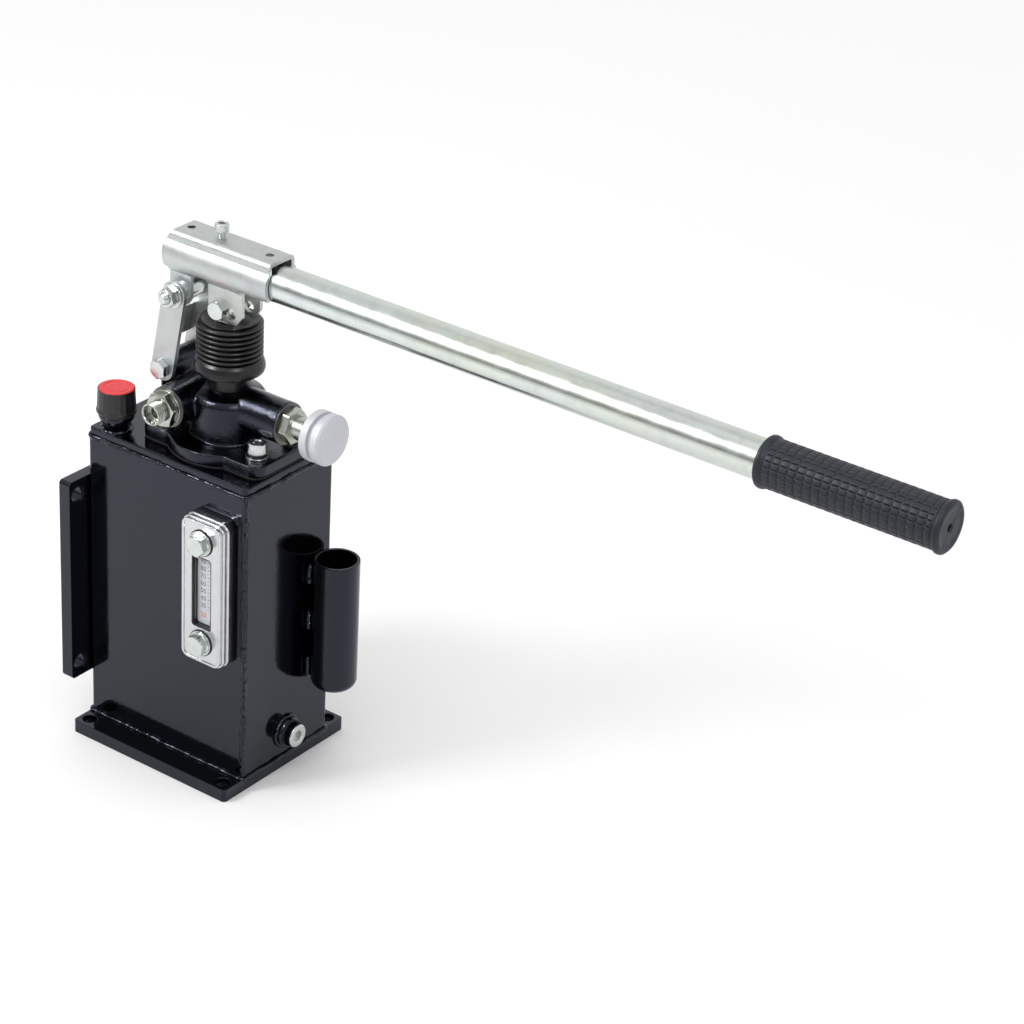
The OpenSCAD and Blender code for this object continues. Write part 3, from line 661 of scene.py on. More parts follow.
def rubber(name, tone=(0.006, 0.0062, 0.0075), rough=(0.42, 0.6), grit=0.00006, bloom=0.3):
    """Moulded rubber with a fine grit and a greyish bloom."""
    s = Shader(name)
    s.set(Specular_IOR_Level=0.42)
    paler = tuple(c * 2.1 + 0.006 for c in tone)
    s.colour(s.blend(s.ramp(s.noise(55, 5, 0.6), 0.45, 0.78, 0, bloom), tone, paler))
    s.uneven(150, 4, rough)
    s.bump(s.noise(1500, 3), grit)
    s.bump(s.noise(240, 3), grit * 1.2)
    return s.material


def moulded(name, tone, rough, grain=0.00004, specular=0.5):
    """Moulded plastic with slight unevenness and a fine grain."""
    s = Shader(name)
    s.set(Specular_IOR_Level=specular)
    darker = tuple(c * 0.8 for c in tone)
    s.mottled(70, 4, 0.4, 0.7, 0.7, tone, darker)
    s.uneven(120, 3, rough)
    s.bump(s.noise(1800, 2), grain)
    return s.material


def clear_window(name):
    """Clear acrylic, with faint waviness."""
    s = Shader(name)
    s.set(Base_Color=(0.97, 0.985, 0.98, 1), Transmission_Weight=1.0, IOR=1.2, Specular_IOR_Level=0.5)
    s.uneven(60, 2, (0.0, 0.04))
    s.bump(s.noise(120, 1), 0.000004)
    return s.material


def floor_material():
    """Matt white sweep."""
    s = Shader("studio_floor")
    s.set(Specular_IOR_Level=0.1)
    s.colour(s.blend(s.noise(3, 2), (0.93, 0.93, 0.935), (0.945, 0.945, 0.945)))
    s.uneven(8, 2, (0.85, 0.95))
    return s.material


PAINT = gloss_paint("black_gloss_paint")
TUBE_PAINT = gloss_paint("black_satin_paint", (0.001, 0.0011, 0.0016), (0.16, 0.26), 0.00003)
CAST = cast_paint("black_cast_paint")
ZINC = zinc("zinc_plate", (0.60, 0.635, 0.63))
ZINC_SHEET = zinc("zinc_sheet", (0.52, 0.545, 0.54), (0.34, 0.5), (0.06, 1, 1), 500, 0.55, 0.00003)
ZINC_TUBE = zinc("zinc_tube", (0.62, 0.665, 0.655), (0.17, 0.28), (0.02, 1, 1), 420, 0.9, 0.000006)
FRAME_METAL = bright_metal(
    "gauge_bright_metal", (0.58, 0.585, 0.60), (0.12, 0.26), (1, 1, 0.05), 0.00002)
STEEL = bright_metal("ground_steel", (0.62, 0.62, 0.61), (0.15, 0.3))
BARE_CAST = bright_metal("machined_cast_face", (0.15, 0.145, 0.135), (0.3, 0.45), None, 0.00003)
DARK_STEEL = bright_metal("black_oxide_steel", (0.035, 0.035, 0.038), (0.25, 0.4))
FITTING = zinc("fitting_zinc", (0.44, 0.46, 0.425), (0.16, 0.32), grain_scale=900, tint=0.6)
BRONZE = bright_metal("turned_bronze", (0.68, 0.52, 0.26), (0.25, 0.4))
KNOB = knob_metal("matt_aluminium")
RUBBER = rubber("black_rubber", (0.0035, 0.0037, 0.0045), (0.26, 0.4), 0.00003, 0.12)
GRIP = rubber("grip_rubber", (0.0075, 0.0098, 0.0175), (0.42, 0.56), 0.00003, 0.2)
GASKET = rubber("gasket_sheet", (0.02, 0.02, 0.022), (0.6, 0.8))
CAP = moulded("black_plastic", (0.006, 0.006, 0.0075), (0.3, 0.45))
RED = moulded("red_plastic", (0.72, 0.022, 0.03), (0.3, 0.42), 0.00003)
SEAL = moulded("blue_seal", (0.03, 0.09, 0.3), (0.35, 0.5))
WINDOW = clear_window("clear_window")
CARD = moulded("scale_card", (0.80, 0.79, 0.83), (0.35, 0.5), 0.00001)
INK = moulded("scale_ink_blue", (0.10, 0.11, 0.22), (0.4, 0.5), 0.00001)
INK_RED = moulded("scale_ink_red", (0.75, 0.06, 0.08), (0.4, 0.5), 0.00001)


# --- camera and light


def add_camera():
    """Camera placed by the direction, distance and lens of the reference view."""
    azimuth, elevation, roll = (radians(a) for a in (35.016, 27.95, 3.343))
    level = Vector((sin(azimuth), -cos(azimuth), 0))
    back = level * cos(elevation) + UP * sin(elevation)
    right = Vector((cos(azimuth), sin(azimuth), 0))
    up = back.cross(right)
    tilted = right * cos(roll) + up * sin(roll)
    up = up * cos(roll) - right * sin(roll)
    aim = Vector((0.1535, 0.157, 0.1763))
    distance = 2.2568
    data = bpy.data.cameras.new("camera")
    data.sensor_width = 36
    data.lens = 108.83
    data.clip_end = 50
    camera = placed_object("camera", data)
    turn = Matrix((tilted, up, back)).transposed().to_4x4()
    camera.matrix_world = Matrix.Translation(aim + back * distance) @ turn
    scene.camera = camera


def add_area(name, place, target, width, height, power, glint=False):
    """A soft rectangular lamp; a glint lamp shows only in reflections."""
    data = bpy.data.lights.new(name, "AREA")
    data.shape = "RECTANGLE"
    data.size = width
    data.size_y = height
    data.energy = power
    lamp = placed_object(name, data)
    lamp.location = place
    lamp.rotation_euler = (Vector(target) - Vector(place)).to_track_quat("-Z", "Y").to_euler()
    lamp.visible_diffuse = not glint


def add_studio():
    """White surroundings, a pale floor and soft lamps."""
    world = bpy.data.worlds.new("studio")
    scene.world = world
    world.use_nodes = True
    tree = world.node_tree
    back = tree.nodes["Background"]
    new, link = tree.nodes.new, tree.links.new
    split = new("ShaderNodeSeparateXYZ")
    link(new("ShaderNodeTexCoord").outputs["Generated"], split.inputs[0])

    def heights(stops):
        """A grey for each height of the direction, from -1 straight down to 1 straight up."""
        map_range = new("ShaderNodeMapRange")
        map_range.inputs["From Min"].default_value = -1
        link(split.outputs["Z"], map_range.inputs["Value"])
        ramp = new("ShaderNodeValToRGB")
        link(map_range.outputs[0], ramp.inputs[0])
        elements = ramp.color_ramp.elements
        while len(elements) < len(stops):
            elements.new(0.5)
        for element, (height, value) in zip(elements, stops):
            element.position = (height + 1) / 2
            element.color = (value / BRIGHTEST,) * 3 + (1,)
        return ramp.outputs[0]

    overhead = ((0.80, 0.76), (0.88, 0.92), (1.0, BRIGHTEST))
    behind = heights(((-1, 0.9), (-0.05, 0.92), (0.35, 0.98), (0.66, 0.96), *overhead))
    facing = heights(((-1, 0.5), (-0.12, 0.40), (0.0, 0.24), (0.12, 0.27), (0.24, 0.5),
                      (0.5, 0.92), (0.72, 0.90), *overhead))
    side = new("ShaderNodeMapRange")
    side.interpolation_type = "SMOOTHSTEP"
    side.inputs["From Min"].default_value = -0.1
    side.inputs["From Max"].default_value = -0.55
    link(split.outputs["Y"], side.inputs["Value"])
    mix = new("ShaderNodeMix")
    mix.data_type = "RGBA"
    for out, socket in ((side.outputs[0], "Factor"), (behind, 6), (facing, 7)):
        link(out, mix.inputs[socket])
    link(mix.outputs[2], back.inputs[0])
    back.inputs[1].default_value = BRIGHTEST
    span = 12.0
    points = [(-span, -span, 0), (span, -span, 0), (span, span, 0), (-span, span, 0)]
    mesh = bpy.data.meshes.new("floor")
    mesh.from_pydata(points, [], [(0, 1, 2, 3)])
    mesh.materials.append(floor_material())
    floor = placed_object("floor", mesh)
    add_area("key", (-0.62, -0.92, 1.30), (0.05, 0, 0.30), 0.44, 0.34, 10)
    add_area("fill", (1.9, -1.3, 1.7), (0.1, 0, 0.25), 0.6, 0.5, 2.2)
    add_area("glint_left", (-0.55, -0.95, 1.15), (0.02, 0, 0.29), 0.30, 0.26, 8, glint=True)
    add_area("glint_right", (1.25, -0.55, 1.35), (0.02, 0, 0.29), 0.22, 0.35, 6, glint=True)
    scene.view_settings.view_transform = "Standard"
    scene.view_settings.look = "None"


add_camera()
add_studio()


# --- tank


def tank():
    """Welded box: walls, top plate and beads along its joints."""
    rng = random.Random(4)
    lo, hi = low("tank_shell"), high("tank_shell")
    centre = middle("tank_shell")
    span = size("tank_shell")
    outline = rounded_rectangle(span.x, span.y, 3.5, (centre.x, centre.y))
    plate("Tank_walls", [outline], span.z, 0.4, (0, 0, centre.z), FLAT, PAINT, "root", "tank_shell")
    lid = middle("tank_top_plate")
    thick = size("tank_top_plate").z
    lid_hole = circle(18.5, (middle("gland_bush").x, 0))
    outline = rounded_rectangle(span.x - 1.2, span.y - 1.2, 3.2, (centre.x, centre.y))
    loops = [outline, lid_hole]
    plate("Tank_top", loops, thick, 1.1, (0, 0, lid.z), FLAT, PAINT, "root", "tank_top_plate")
    # beads under the top plate, up the corners and round the base
    inset = 0.2
    z_top = hi.z - 0.8
    x0, x1, y0, y1 = lo.x + inset, hi.x - inset, lo.y + inset, hi.y - inset
    loop = [
        (x * (x1 - x0) / span.x, y * (y1 - y0) / span.y, z_top)
        for x, y in rounded_rectangle(span.x, span.y, 3.5, steps=3)
    ]
    top_bead = bead(loop, 1.7, rng, ripple=2.6, closed=True, flat=0.8)
    z_base = lo.z + 0.6
    foot = rounded_rectangle(span.x + 1.2, span.y + 1.2, 4, steps=3)
    loop = [(x, y, z_base) for x, y in foot]
    base_bead = bead(loop, 1.5, rng, ripple=3.0, closed=True)
    corners = []
    for sx, sy in ((1, -1), (-1, 1)):
        x = sx * (span.x / 2 - 1.6)
        y = sy * (span.y / 2 - 1.6)
        corners.append(bead([(x, y, lo.z + 1), (x, y, hi.z - 1)], 2.2, rng, ripple=11.3))
    weld("Tank_welds", top_bead, base_bead, *corners)


def plates():
    """Base plate and upright wall plate with their holes."""
    cad_copy("Base_plate", 1.2, PAINT)
    cad_copy("Wall_plate", 1.2, PAINT, node="wall_mount_plate")


def storage_tube():
    """Open tube for the spare lever, pinched in at its foot, with three stitch welds."""
    rng = random.Random(9)
    lo, hi = low("lever_storage_tube"), high("lever_storage_tube")
    centre = middle("lever_storage_tube")
    r = (hi.x - lo.x) / 2
    inner, foot_r = 14.5, 12.2
    height = hi.z - lo.z
    outline = eased([
        (foot_r, 2), (foot_r, 0), (r - 2.8, 0), (r - 0.8, 2.4), (r, 5), (r, height),
        (inner, height), (inner, 4.5), (foot_r, 3.5), (foot_r, 2),
    ], 0.6)[:-1]
    tube = lathe(outline, (centre.x, centre.y, lo.z), UP, 96, True)
    make("Storage_tube", tube, TUBE_PAINT, "root", "lever_storage_tube")
    x = high("tank_shell").x + 1.4
    y = middle("storage_tube_welds").y - 1.2
    parts = []
    for share in (0.05, 0.42, 0.79):
        z = lo.z + share * height
        parts.append(bead([(x, y, z), (x + 0.4, y - 0.6, z + 17)], 2.8, rng, ripple=2.4))
    weld("Storage_tube_welds", *parts)


def filler():
    """Welded neck, ribbed cap and its red disc."""
    rng = random.Random(12)
    base = middle("filler_neck")
    z0 = high("tank_top_plate").z
    place = (base.x, base.y, z0)
    top = high("filler_gasket").z - z0
    neck = lathe(eased([
        (0, -2), (9.4, -2), (9.4, 3.5), (12.8, 9.8), (13, 10.5), (13, top - 1), (8, top - 1),
        (8, top + 6), (6.5, top + 6), (6.5, 0), (0, 0),
    ], 0.5), place, UP, 72)
    ridges = [
        washer(9.9 + i * 0.62, 9.0, 0.45, (base.x, base.y, z0 + 4.6 + 1.15 * i), UP, 0.15)
        for i in range(5)
    ]
    make("Filler_neck", joined(neck, *ridges), PAINT)
    path = [(x, y, z0 + 0.7) for x, y in ring(10.2, (base.x, base.y), 39)]
    weld("Filler_neck_weld", bead(path, 1.9, rng, ripple=2.0, closed=True))
    lo, hi = low("filler_cap"), high("filler_cap")
    r = (hi.x - lo.x) / 2
    h = hi.z - lo.z
    facets = 20
    top_r = r - 0.9
    outline = eased([
        (8.1, 8), (8.1, 0.3), (r - 1.2, 0), (r - 0.1, 0.7), (r, 2.0), (r - 0.2, 3.0),
        (top_r, h - 0.8), (top_r - 0.4, h), (top_r - 0.7, h), (top_r - 0.75, h - 1.1), (0, h - 1.1),
    ], 0.35)
    points, faces = lathe(outline, (base.x, base.y, lo.z), UP, 240)
    ribbed = []
    for p in points:
        d = Vector((p.x - base.x, p.y - base.y, 0))
        height = p.z - lo.z
        if d.length > top_r - 0.5 and 2.2 < height < h - 0.4:
            a = atan2(d.y, d.x) % (2 * pi / facets) - pi / facets
            flat = cos(pi / facets) / cos(a)
            fade = min(1.0, (height - 2.2) / 1.2, (h - 0.4 - height) / 0.5)
            d = d * (1 - (1.018 - flat) * fade)
        ribbed.append(Vector((base.x + d.x, base.y + d.y, p.z)))
    make("Filler_cap", (ribbed, faces), CAP, "filler_cap", sharp=50)
    z = low("filler_cap_disc").z
    disc_r = size("filler_cap_disc").x / 2 + 0.35
    t = size("filler_cap_disc").z
    outline = eased([
        (0, 0), (disc_r, 0), (disc_r, t - 0.5), (disc_r - 0.9, t), (disc_r * 0.74, t),
        (disc_r * 0.70, t - 0.55), (disc_r * 0.66, t - 0.1), (0, t - 0.05),
    ], 0.3)
    make("Filler_cap_disc", lathe(outline, (base.x, base.y, z), UP, 96), RED, "filler_cap")


def drain():
    """Welded boss and the plug in it."""
    rng = random.Random(21)
    face = high("tank_shell").x
    z = middle("drain_boss").z
    place = (face, 0, z)
    boss = eased([(7.9, -2), (11.5, -2), (11.5, 3.6), (10.4, 5), (7.9, 5), (7.9, -2)], 0.5)[:-1]
    make("Drain_boss", lathe(boss, place, LEVER_SIDE, 72, True), PAINT)
    path = [(face + 0.5, y, up) for y, up in ring(11.8, (0, z), 43)]
    weld("Drain_weld", bead(path, 1.8, rng, ripple=2.2, closed=True))
    front = high("drain_plug").x
    r = 9.5
    outline = eased([
        (7.7, -5.78), (r, -5.78), (r, -0.8), (8.7, -0.8), (8.7, -1.6), (7.7, -1.6), (7.7, -5.78),
    ], 0.25)[:-1]
    make("Drain_plug_rim", lathe(outline, (front, 0, z), LEVER_SIDE, 72, True), PAINT)
    head = socket_head(17.6, 5.0, 8, (front - 5.0, 0, z), LEVER_SIDE)
    make("Drain_plug", head, ZINC)


def gauge():
    """Level gauge: black housing, stepped bright frame, window, card with a scale, and two bolts."""
    lo, hi = low("gauge_frame"), high("gauge_frame")
    centre = middle("gauge_frame")
    pitch = 80
    cad_copy("Gauge_housing", 0.3, CAP)
    slot = rounded_rectangle(18.0, 57.0, 2.6)[::-1]
    bolt_holes = [circle(5.2, (0, s * pitch / 2)) for s in (-1, 1)]

    def layer(name, inset, corner, start, end, ease, holes, stands_for=None):
        outline = rounded_rectangle(w - inset, h - inset, corner, steps=12)
        place = (centre.x, hi.y - (start + end) / 2, centre.z)
        loops = [outline, *holes]
        plate(name, loops, end - start, ease, place, UPRIGHT, FRAME_METAL, "root", stands_for)

    w, h = size("gauge_frame").x, size("gauge_frame").z
    depth = hi.y - lo.y
    cuts = [slot, *bolt_holes]
    middle_cut = rounded_rectangle(w - 7.6, h - 7.6, 4.2, steps=12)[::-1]
    layer("Gauge_frame_flange", 0, 7.5, 0, 4.9, 1.3, cuts, "gauge_frame")
    layer("Gauge_frame_step", 2.2, 6.6, 4.5, 6.9, 0.3, cuts)
    layer("Gauge_frame_rim", 0.9, 7.2, 6.3, 8.8, 0.9, cuts)
    layer("Gauge_frame_face", 3.4, 6.0, 8.0, depth - 0.8, 0.3, cuts)
    layer("Gauge_frame_edge", 3.4, 6.0, depth - 1.6, depth, 0.55, [middle_cut])
    card = middle("gauge_card")
    pane = [rounded_rectangle(15.8, 54.8, 1.5)]
    plate("Gauge_card", pane, 0.8, 0.2, card, UPRIGHT, CARD)
    plate("Gauge_window", pane, 0.6, 0.15, middle("gauge_window"), UPRIGHT, WINDOW)
    scale_marks(card.x, card.y - 0.45, card.z)
    y = high("gauge_washers").y
    t = size("gauge_washers").y

    def pair(name, outer, thickness, start, material):
        spots = [(centre.x, start, centre.z + s * pitch / 2) for s in (-1, 1)]
        rings = [washer(outer, 5.1, thickness, spot, GAUGE_SIDE, 0.3) for spot in spots]
        make(name, joined(*rings), material)

    pair("Gauge_bolt_rings", 10.1, 0.8, y, GASKET)
    pair("Gauge_washers", 9.4, t - 0.7, y - 0.7, ZINC)
    face = low("gauge_washers").y
    bolts = []
    for s, turn in ((-1, 0.35), (1, 0.8)):
        place = (centre.x, face, centre.z + s * pitch / 2)
        bolts.append(hex_prism(14.6, 6.4, place, GAUGE_SIDE, turn))
        bolts.append(lathe([(0, 0), (8.2, 0), (8.2, 0.5), (7.4, 1.2), (0, 1.3)], place, GAUGE_SIDE))
    make("Gauge_bolts", joined(*bolts), ZINC, sharp=35)


def text_mesh(words, height, x, y, z):
    """Numerals standing on the card, as (points, faces) in millimetres."""
    curve = bpy.data.curves.new("numeral", "FONT")
    curve.body = words
    curve.size = height
    curve.align_x = "CENTER"
    curve.align_y = "CENTER"
    curve.extrude = 0.02
    curve.resolution_u = 3
    mesh = evaluated_mesh(placed_object("numeral", curve))
    points = [Vector((x + v.co.x, y - v.co.z, z + v.co.y)) for v in mesh.vertices]
    faces = [tuple(p.vertices) for p in mesh.polygons]
    bpy.data.meshes.remove(mesh)
    return points, faces


def bar(x, y, z, width, height, depth=0.05):
    """A thin upright block on the card."""
    points = [
        Vector((x + sx * width / 2, y - d, z + sz * height / 2))
        for d in (0, depth) for sx, sz in ((-1, -1), (1, -1), (1, 1), (-1, 1))
    ]
    faces = [(3, 2, 1, 0), (4, 5, 6, 7), (0, 1, 5, 4), (1, 2, 6, 5), (2, 3, 7, 6), (3, 0, 4, 7)]
    return points, faces


def scale_marks(x, y, z):
    """A generic scale from 20 to 90 with ticks, and a red column beside it."""
    blue, red = [], []
    for i, value in enumerate(range(90, 20, -10)):
        at = z + 22.5 - i * 5.9
        blue.append(text_mesh(str(value), 5.2, x - 2.6, y, at))
        blue.append(bar(x + 2.6, y, at, 2.2, 0.4))
        blue.append(bar(x + 2.2, y, at - 2.95, 1.4, 0.35))
    red.append(text_mesh("20", 5.4, x - 2.2, y, z - 20.5))
    red.append(bar(x + 5.2, y, z - 7, 1.0, 38))
    red.append(bar(x + 5.0, y, z - 25, 3.2, 2.6))
    make("Gauge_scale", joined(*blue), INK, weighted=False)
    make("Gauge_scale_red", joined(*red), INK_RED, weighted=False)


# --- pump


def casting():
    """Pump body: the CAD shape with cast fillets and an uneven skin, and its machined faces."""
    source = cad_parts["pump_body"].data.copy()
    merge_doubles(source)
    scratch = placed_object("casting_scratch", source)
    skin = scratch.modifiers.new("skin", "REMESH")
    skin.mode = "VOXEL"
    skin.voxel_size = 0.0009
    relax = scratch.modifiers.new("relax", "SMOOTH")
    relax.factor = 0.5
    relax.iterations = 7
    mesh = evaluated_mesh(scratch)
    count = len(mesh.vertices)
    co = np.empty(count * 3)
    normals = np.empty(count * 3)
    mesh.vertices.foreach_get("co", co)
    mesh.vertices.foreach_get("normal", normals)
    co, normals = co.reshape(-1, 3), normals.reshape(-1, 3)
    places = [Vector(p) for p in co]
    lumps = np.array([noise.noise(p * 160) * 0.6 + noise.noise(p * 420) * 0.4 for p in places])
    co += normals * (lumps * 0.00014)[:, None]
    mesh.vertices.foreach_set("co", co.ravel())
    mesh.name = "Pump_body"
    obj = placed_object("Pump_body", mesh)
    for face in mesh.polygons:
        face.use_smooth = True
    dress(obj, CAST, "root", weighted=False)
    boss_depth = 24
    face_x = low("release_cartridge").x + boss_depth
    z = middle("release_cartridge").z
    face = washer(15.3, 9.5, 0.5, (face_x - 0.25, 0, z), LEVER_SIDE, 0.2)
    make("Release_face", face, BARE_CAST)
    port = middle("port_washer")
    edge = high("port_washer").y
    face = washer(14.8, 7.6, 0.5, (port.x, edge + 0.25, port.z), GAUGE_SIDE, 0.2)
    make("Port_face", face, BARE_CAST)
    cad_copy("Foot_gasket", 0.1, GASKET)


def foot_fasteners():
    """Cap screws with spring washers and plain washers."""
    plain = low("foot_washers")
    far = high("foot_washers")
    washer_r, head_height = 8, 8
    xs = (plain.x + washer_r, far.x - washer_r)
    ys = (plain.y + washer_r, far.y - washer_r)
    rings, springs, screws = [], [], []
    for x in xs:
        for y in ys:
            rings.append(washer(washer_r, 4.2, 1.6, (x, y, plain.z), UP, 0.3))
            springs.append(washer(6.6, 4.1, 1.8, (x, y, low("foot_spring_washers").z), UP, 0.35))
            top = high("foot_screws").z
            seat = (x, y, top - head_height)
            screws.append(socket_head(13, head_height, 6, seat, UP, knurl=48))
    make("Foot_washers", joined(*rings), ZINC)
    make("Foot_spring_washers", joined(*springs), DARK_STEEL)
    make("Foot_screws", joined(*screws), ZINC, sharp=35)


def pressure_port():
    """Sealing washer and the threaded fitting."""
    port = middle("port_washer")
    back = high("port_washer").y
    seal = washer(13.2, 7.2, 1.5, (port.x, back, port.z), GAUGE_SIDE, 0.3)
    make("Port_washer", seal, FITTING)
    start = low("port_washer").y
    place = (port.x, start, port.z)
    hex_t = 7.0
    t0, t1 = hex_t + 1.4, start - low("pressure_fitting").y
    body = hex_prism(23, hex_t, place, GAUGE_SIDE, 0.2, bore=6, foot_chamfer=True)
    neck = lathe(eased([
        (6.2, hex_t - 1.5), (7.3, hex_t - 1), (7.3, hex_t + 2.2), (6.2, hex_t + 2.5),
    ], 0.2), place, GAUGE_SIDE)
    rows, steps = 90, 72
    spout = Rings(steps)
    for k in range(rows + 1):
        h = t0 + (t1 - t0) * k / rows
        taper = max(0.0, h - (t1 - 0.4), (t0 + 0.6) - h)
        spout.add(lambda i, a: 8.2 - max(thread_cut(h, 1.5, i / steps, 0.75), taper), lambda r: h)
    spout.turned(eased([
        (7.9, t1), (7.0, t1), (6.6, t1 - 0.8), (6.4, t1 - 5.0), (4.4, t1 - 5.4), (4.2, t1 - 9),
        (2.6, t1 - 9.4), (2.6, t1 - 11), (0, t1 - 11.2),
    ], 0.15)[1:])
    shape = joined(body, neck, spout.shape(place, GAUGE_SIDE))
    make("Pressure_fitting", shape, FITTING, sharp=35)


def release_valve():
    """Cartridge with its hexagon, stem and nose, and the knob."""
    z = middle("release_cartridge").z
    face = low("release_knob").x - 23.5
    hexagon = hex_prism(23, 8, (face, 0, z), LEVER_SIDE, 0.1, foot_chamfer=True)
    stem = eased([(0, 7), (8.5, 7), (8.5, 22.2), (7.6, 23), (5.4, 23), (5.4, 18), (0, 18)], 0.3)
    nose = eased([(0, -20), (8, -20), (8, 0.5), (0, 0.5)], 0.3)
    turned = [lathe(outline, (face, 0, z), LEVER_SIDE) for outline in (stem, nose)]
    make("Release_cartridge", joined(hexagon, *turned), FITTING, sharp=35)
    back = low("release_knob").x
    t = size("release_knob").x
    r = size("release_knob").y / 2
    d = t * 0.4
    outline = eased([
        (0, 0), (r - 0.9, 0), (r, 0.9), (r, d - 0.5), (r - 0.5, d), (r - 2.6, d), (r - 2.6, t - d),
        (r - 0.5, t - d), (r, t - d + 0.5), (r, t - 1.4), (r - 1.4, t), (0, t),
    ], 0.35)
    knob = lathe(outline, (back, 0, z), LEVER_SIDE, 128)
    make("Release_knob", knob, KNOB, "release_knob")


def bellows():
    """Rubber bellows: cuff, collar, seven ribs and a dished top that grips the rod."""
    lo, hi = low("bellows"), high("bellows")
    centre = middle("bellows")
    height = hi.z - lo.z
    collar = 12.2
    ribs_from = 23.8
    ribs_to = height - 1.2
    ribs = 7
    outer, groove = 23.5, 19.9
    cuff = [
        (13.7, 2.0), (13.8, 0.1), (14.8, 0), (15.1, 0.6), (15.3, 4.0), (15.7, 9.4),
        (15.8, collar - 0.2),
    ]
    flange = [(r, collar + up) for r, up in (
        (16.6, 0), (23.4, 0), (24.6, 0.8), (25.2, 3.2), (24.9, 5.7), (24.0, 8.7), (22.5, 10.8),
    )]
    outline = eased(cuff + flange + [(groove + 0.4, ribs_from - 0.1)], 0.4, 3)
    pitch = (ribs_to - ribs_from) / ribs
    for i in range(ribs):
        for k in range(1, 9):
            t = k / 8
            bulge = sin(pi * t) ** 0.5
            outline.append((groove + (outer - groove) * bulge, ribs_from + pitch * (i + t)))
    outline += [
        (groove + 0.8, ribs_to + 0.4), (21.2, height - 0.3), (20.6, height), (19.6, height - 0.4),
        (18.6, height - 1.8), (13, height - 2.0), (9.4, height - 2.2), (9.2, height - 5),
        (17, height - 6), (17, 18), (14.2, 13), (14.0, 4),
    ]
    shape = lathe(outline, (centre.x, centre.y, lo.z), UP, 128, True)
    obj = make("Bellows", shape, RUBBER, None, sharp=70, weighted=False)
    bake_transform(obj)


def hidden_metal():
    """Pieces inside the pump keep their CAD shape and get their own finish."""
    finishes = (
        (ZINC, "filler_strainer suction_tube suction_strainer"),
        (GASKET, "filler_gasket gauge_seals drain_seal"),
        (STEEL, "suction_ball suction_spring delivery_ball delivery_spring release_spindle"),
        (RUBBER, "release_o_ring rod_wiper"),
        (SEAL, "rod_seal piston_seal"),
        (BRONZE, "gland_bush"),
    )
    for material, nodes in finishes:
        for node in nodes.split():
            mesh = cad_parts[node].data
            mesh.materials.clear()
            mesh.materials.append(material)


# --- linkage


def links():
    """Two flat links, each with a bearing hole and a wide hole for the open pivot."""
    pivot = Vector((middle("link_lower_nut").x, 0, middle("link_lower_nut").z))
    top = Vector((middle("ear_bush").x, 0, middle("ear_bush").z))
    along = (top - pivot).normalized()
    length = (top - pivot).length
    across = Vector((along.z, 0, -along.x))
    r = 10.0
    outline = [(r * cos(a), length + r * sin(a)) for a in np.linspace(0, pi, 25)]
    outline += [(r * cos(a), r * sin(a)) for a in np.linspace(pi, 2 * pi, 25)]
    loops = [outline, circle(4.05), circle(6.1, (0, length))]
    for name in ("Link_near", "Link_far"):
        node = name.lower()
        origin = (pivot.x, middle(node).y, pivot.z)
        plate(name, loops, size(node).y, 0.45, origin, (across, along), ZINC_SHEET, "links")
    cad_copy("Link_web", 0.5, ZINC_SHEET, "links")


def bolt(name, spot, reach, head_side, head_turn, end_length, end_taper=1.0, body="lever_holder"):
    """An M8 bolt along Y: its head on one side, its shank over a reach, its thread on the other."""
    near, far, head_gap = reach
    span = far - near
    rod = [(0, 0), (M8_RADIUS, 0), (M8_RADIUS, span), (0, span)]
    shank = lathe(rod, (spot.x, near, spot.z), FAR_SIDE)
    head_y, end_y = (near - head_gap, far) if head_side is GAUGE_SIDE else (far + head_gap, near)
    head = hex_prism(M8_FLATS, M8_HEAD, (spot.x, head_y, spot.z), head_side, head_turn)
    start = (spot.x, end_y, spot.z)
    end = thread(M8_RADIUS, M8_PITCH, end_length, start, -head_side, M8_THREAD_DEPTH, end_taper)
    make(name, joined(shank, head, end), ZINC, body, sharp=35)


def nut(spot, y, side, turn):
    """An M8 nut along Y."""
    place = (spot.x, y, spot.z)
    return hex_prism(M8_FLATS, M8_NUT, place, side, turn, bore=M8_HOLE, foot_chamfer=True)


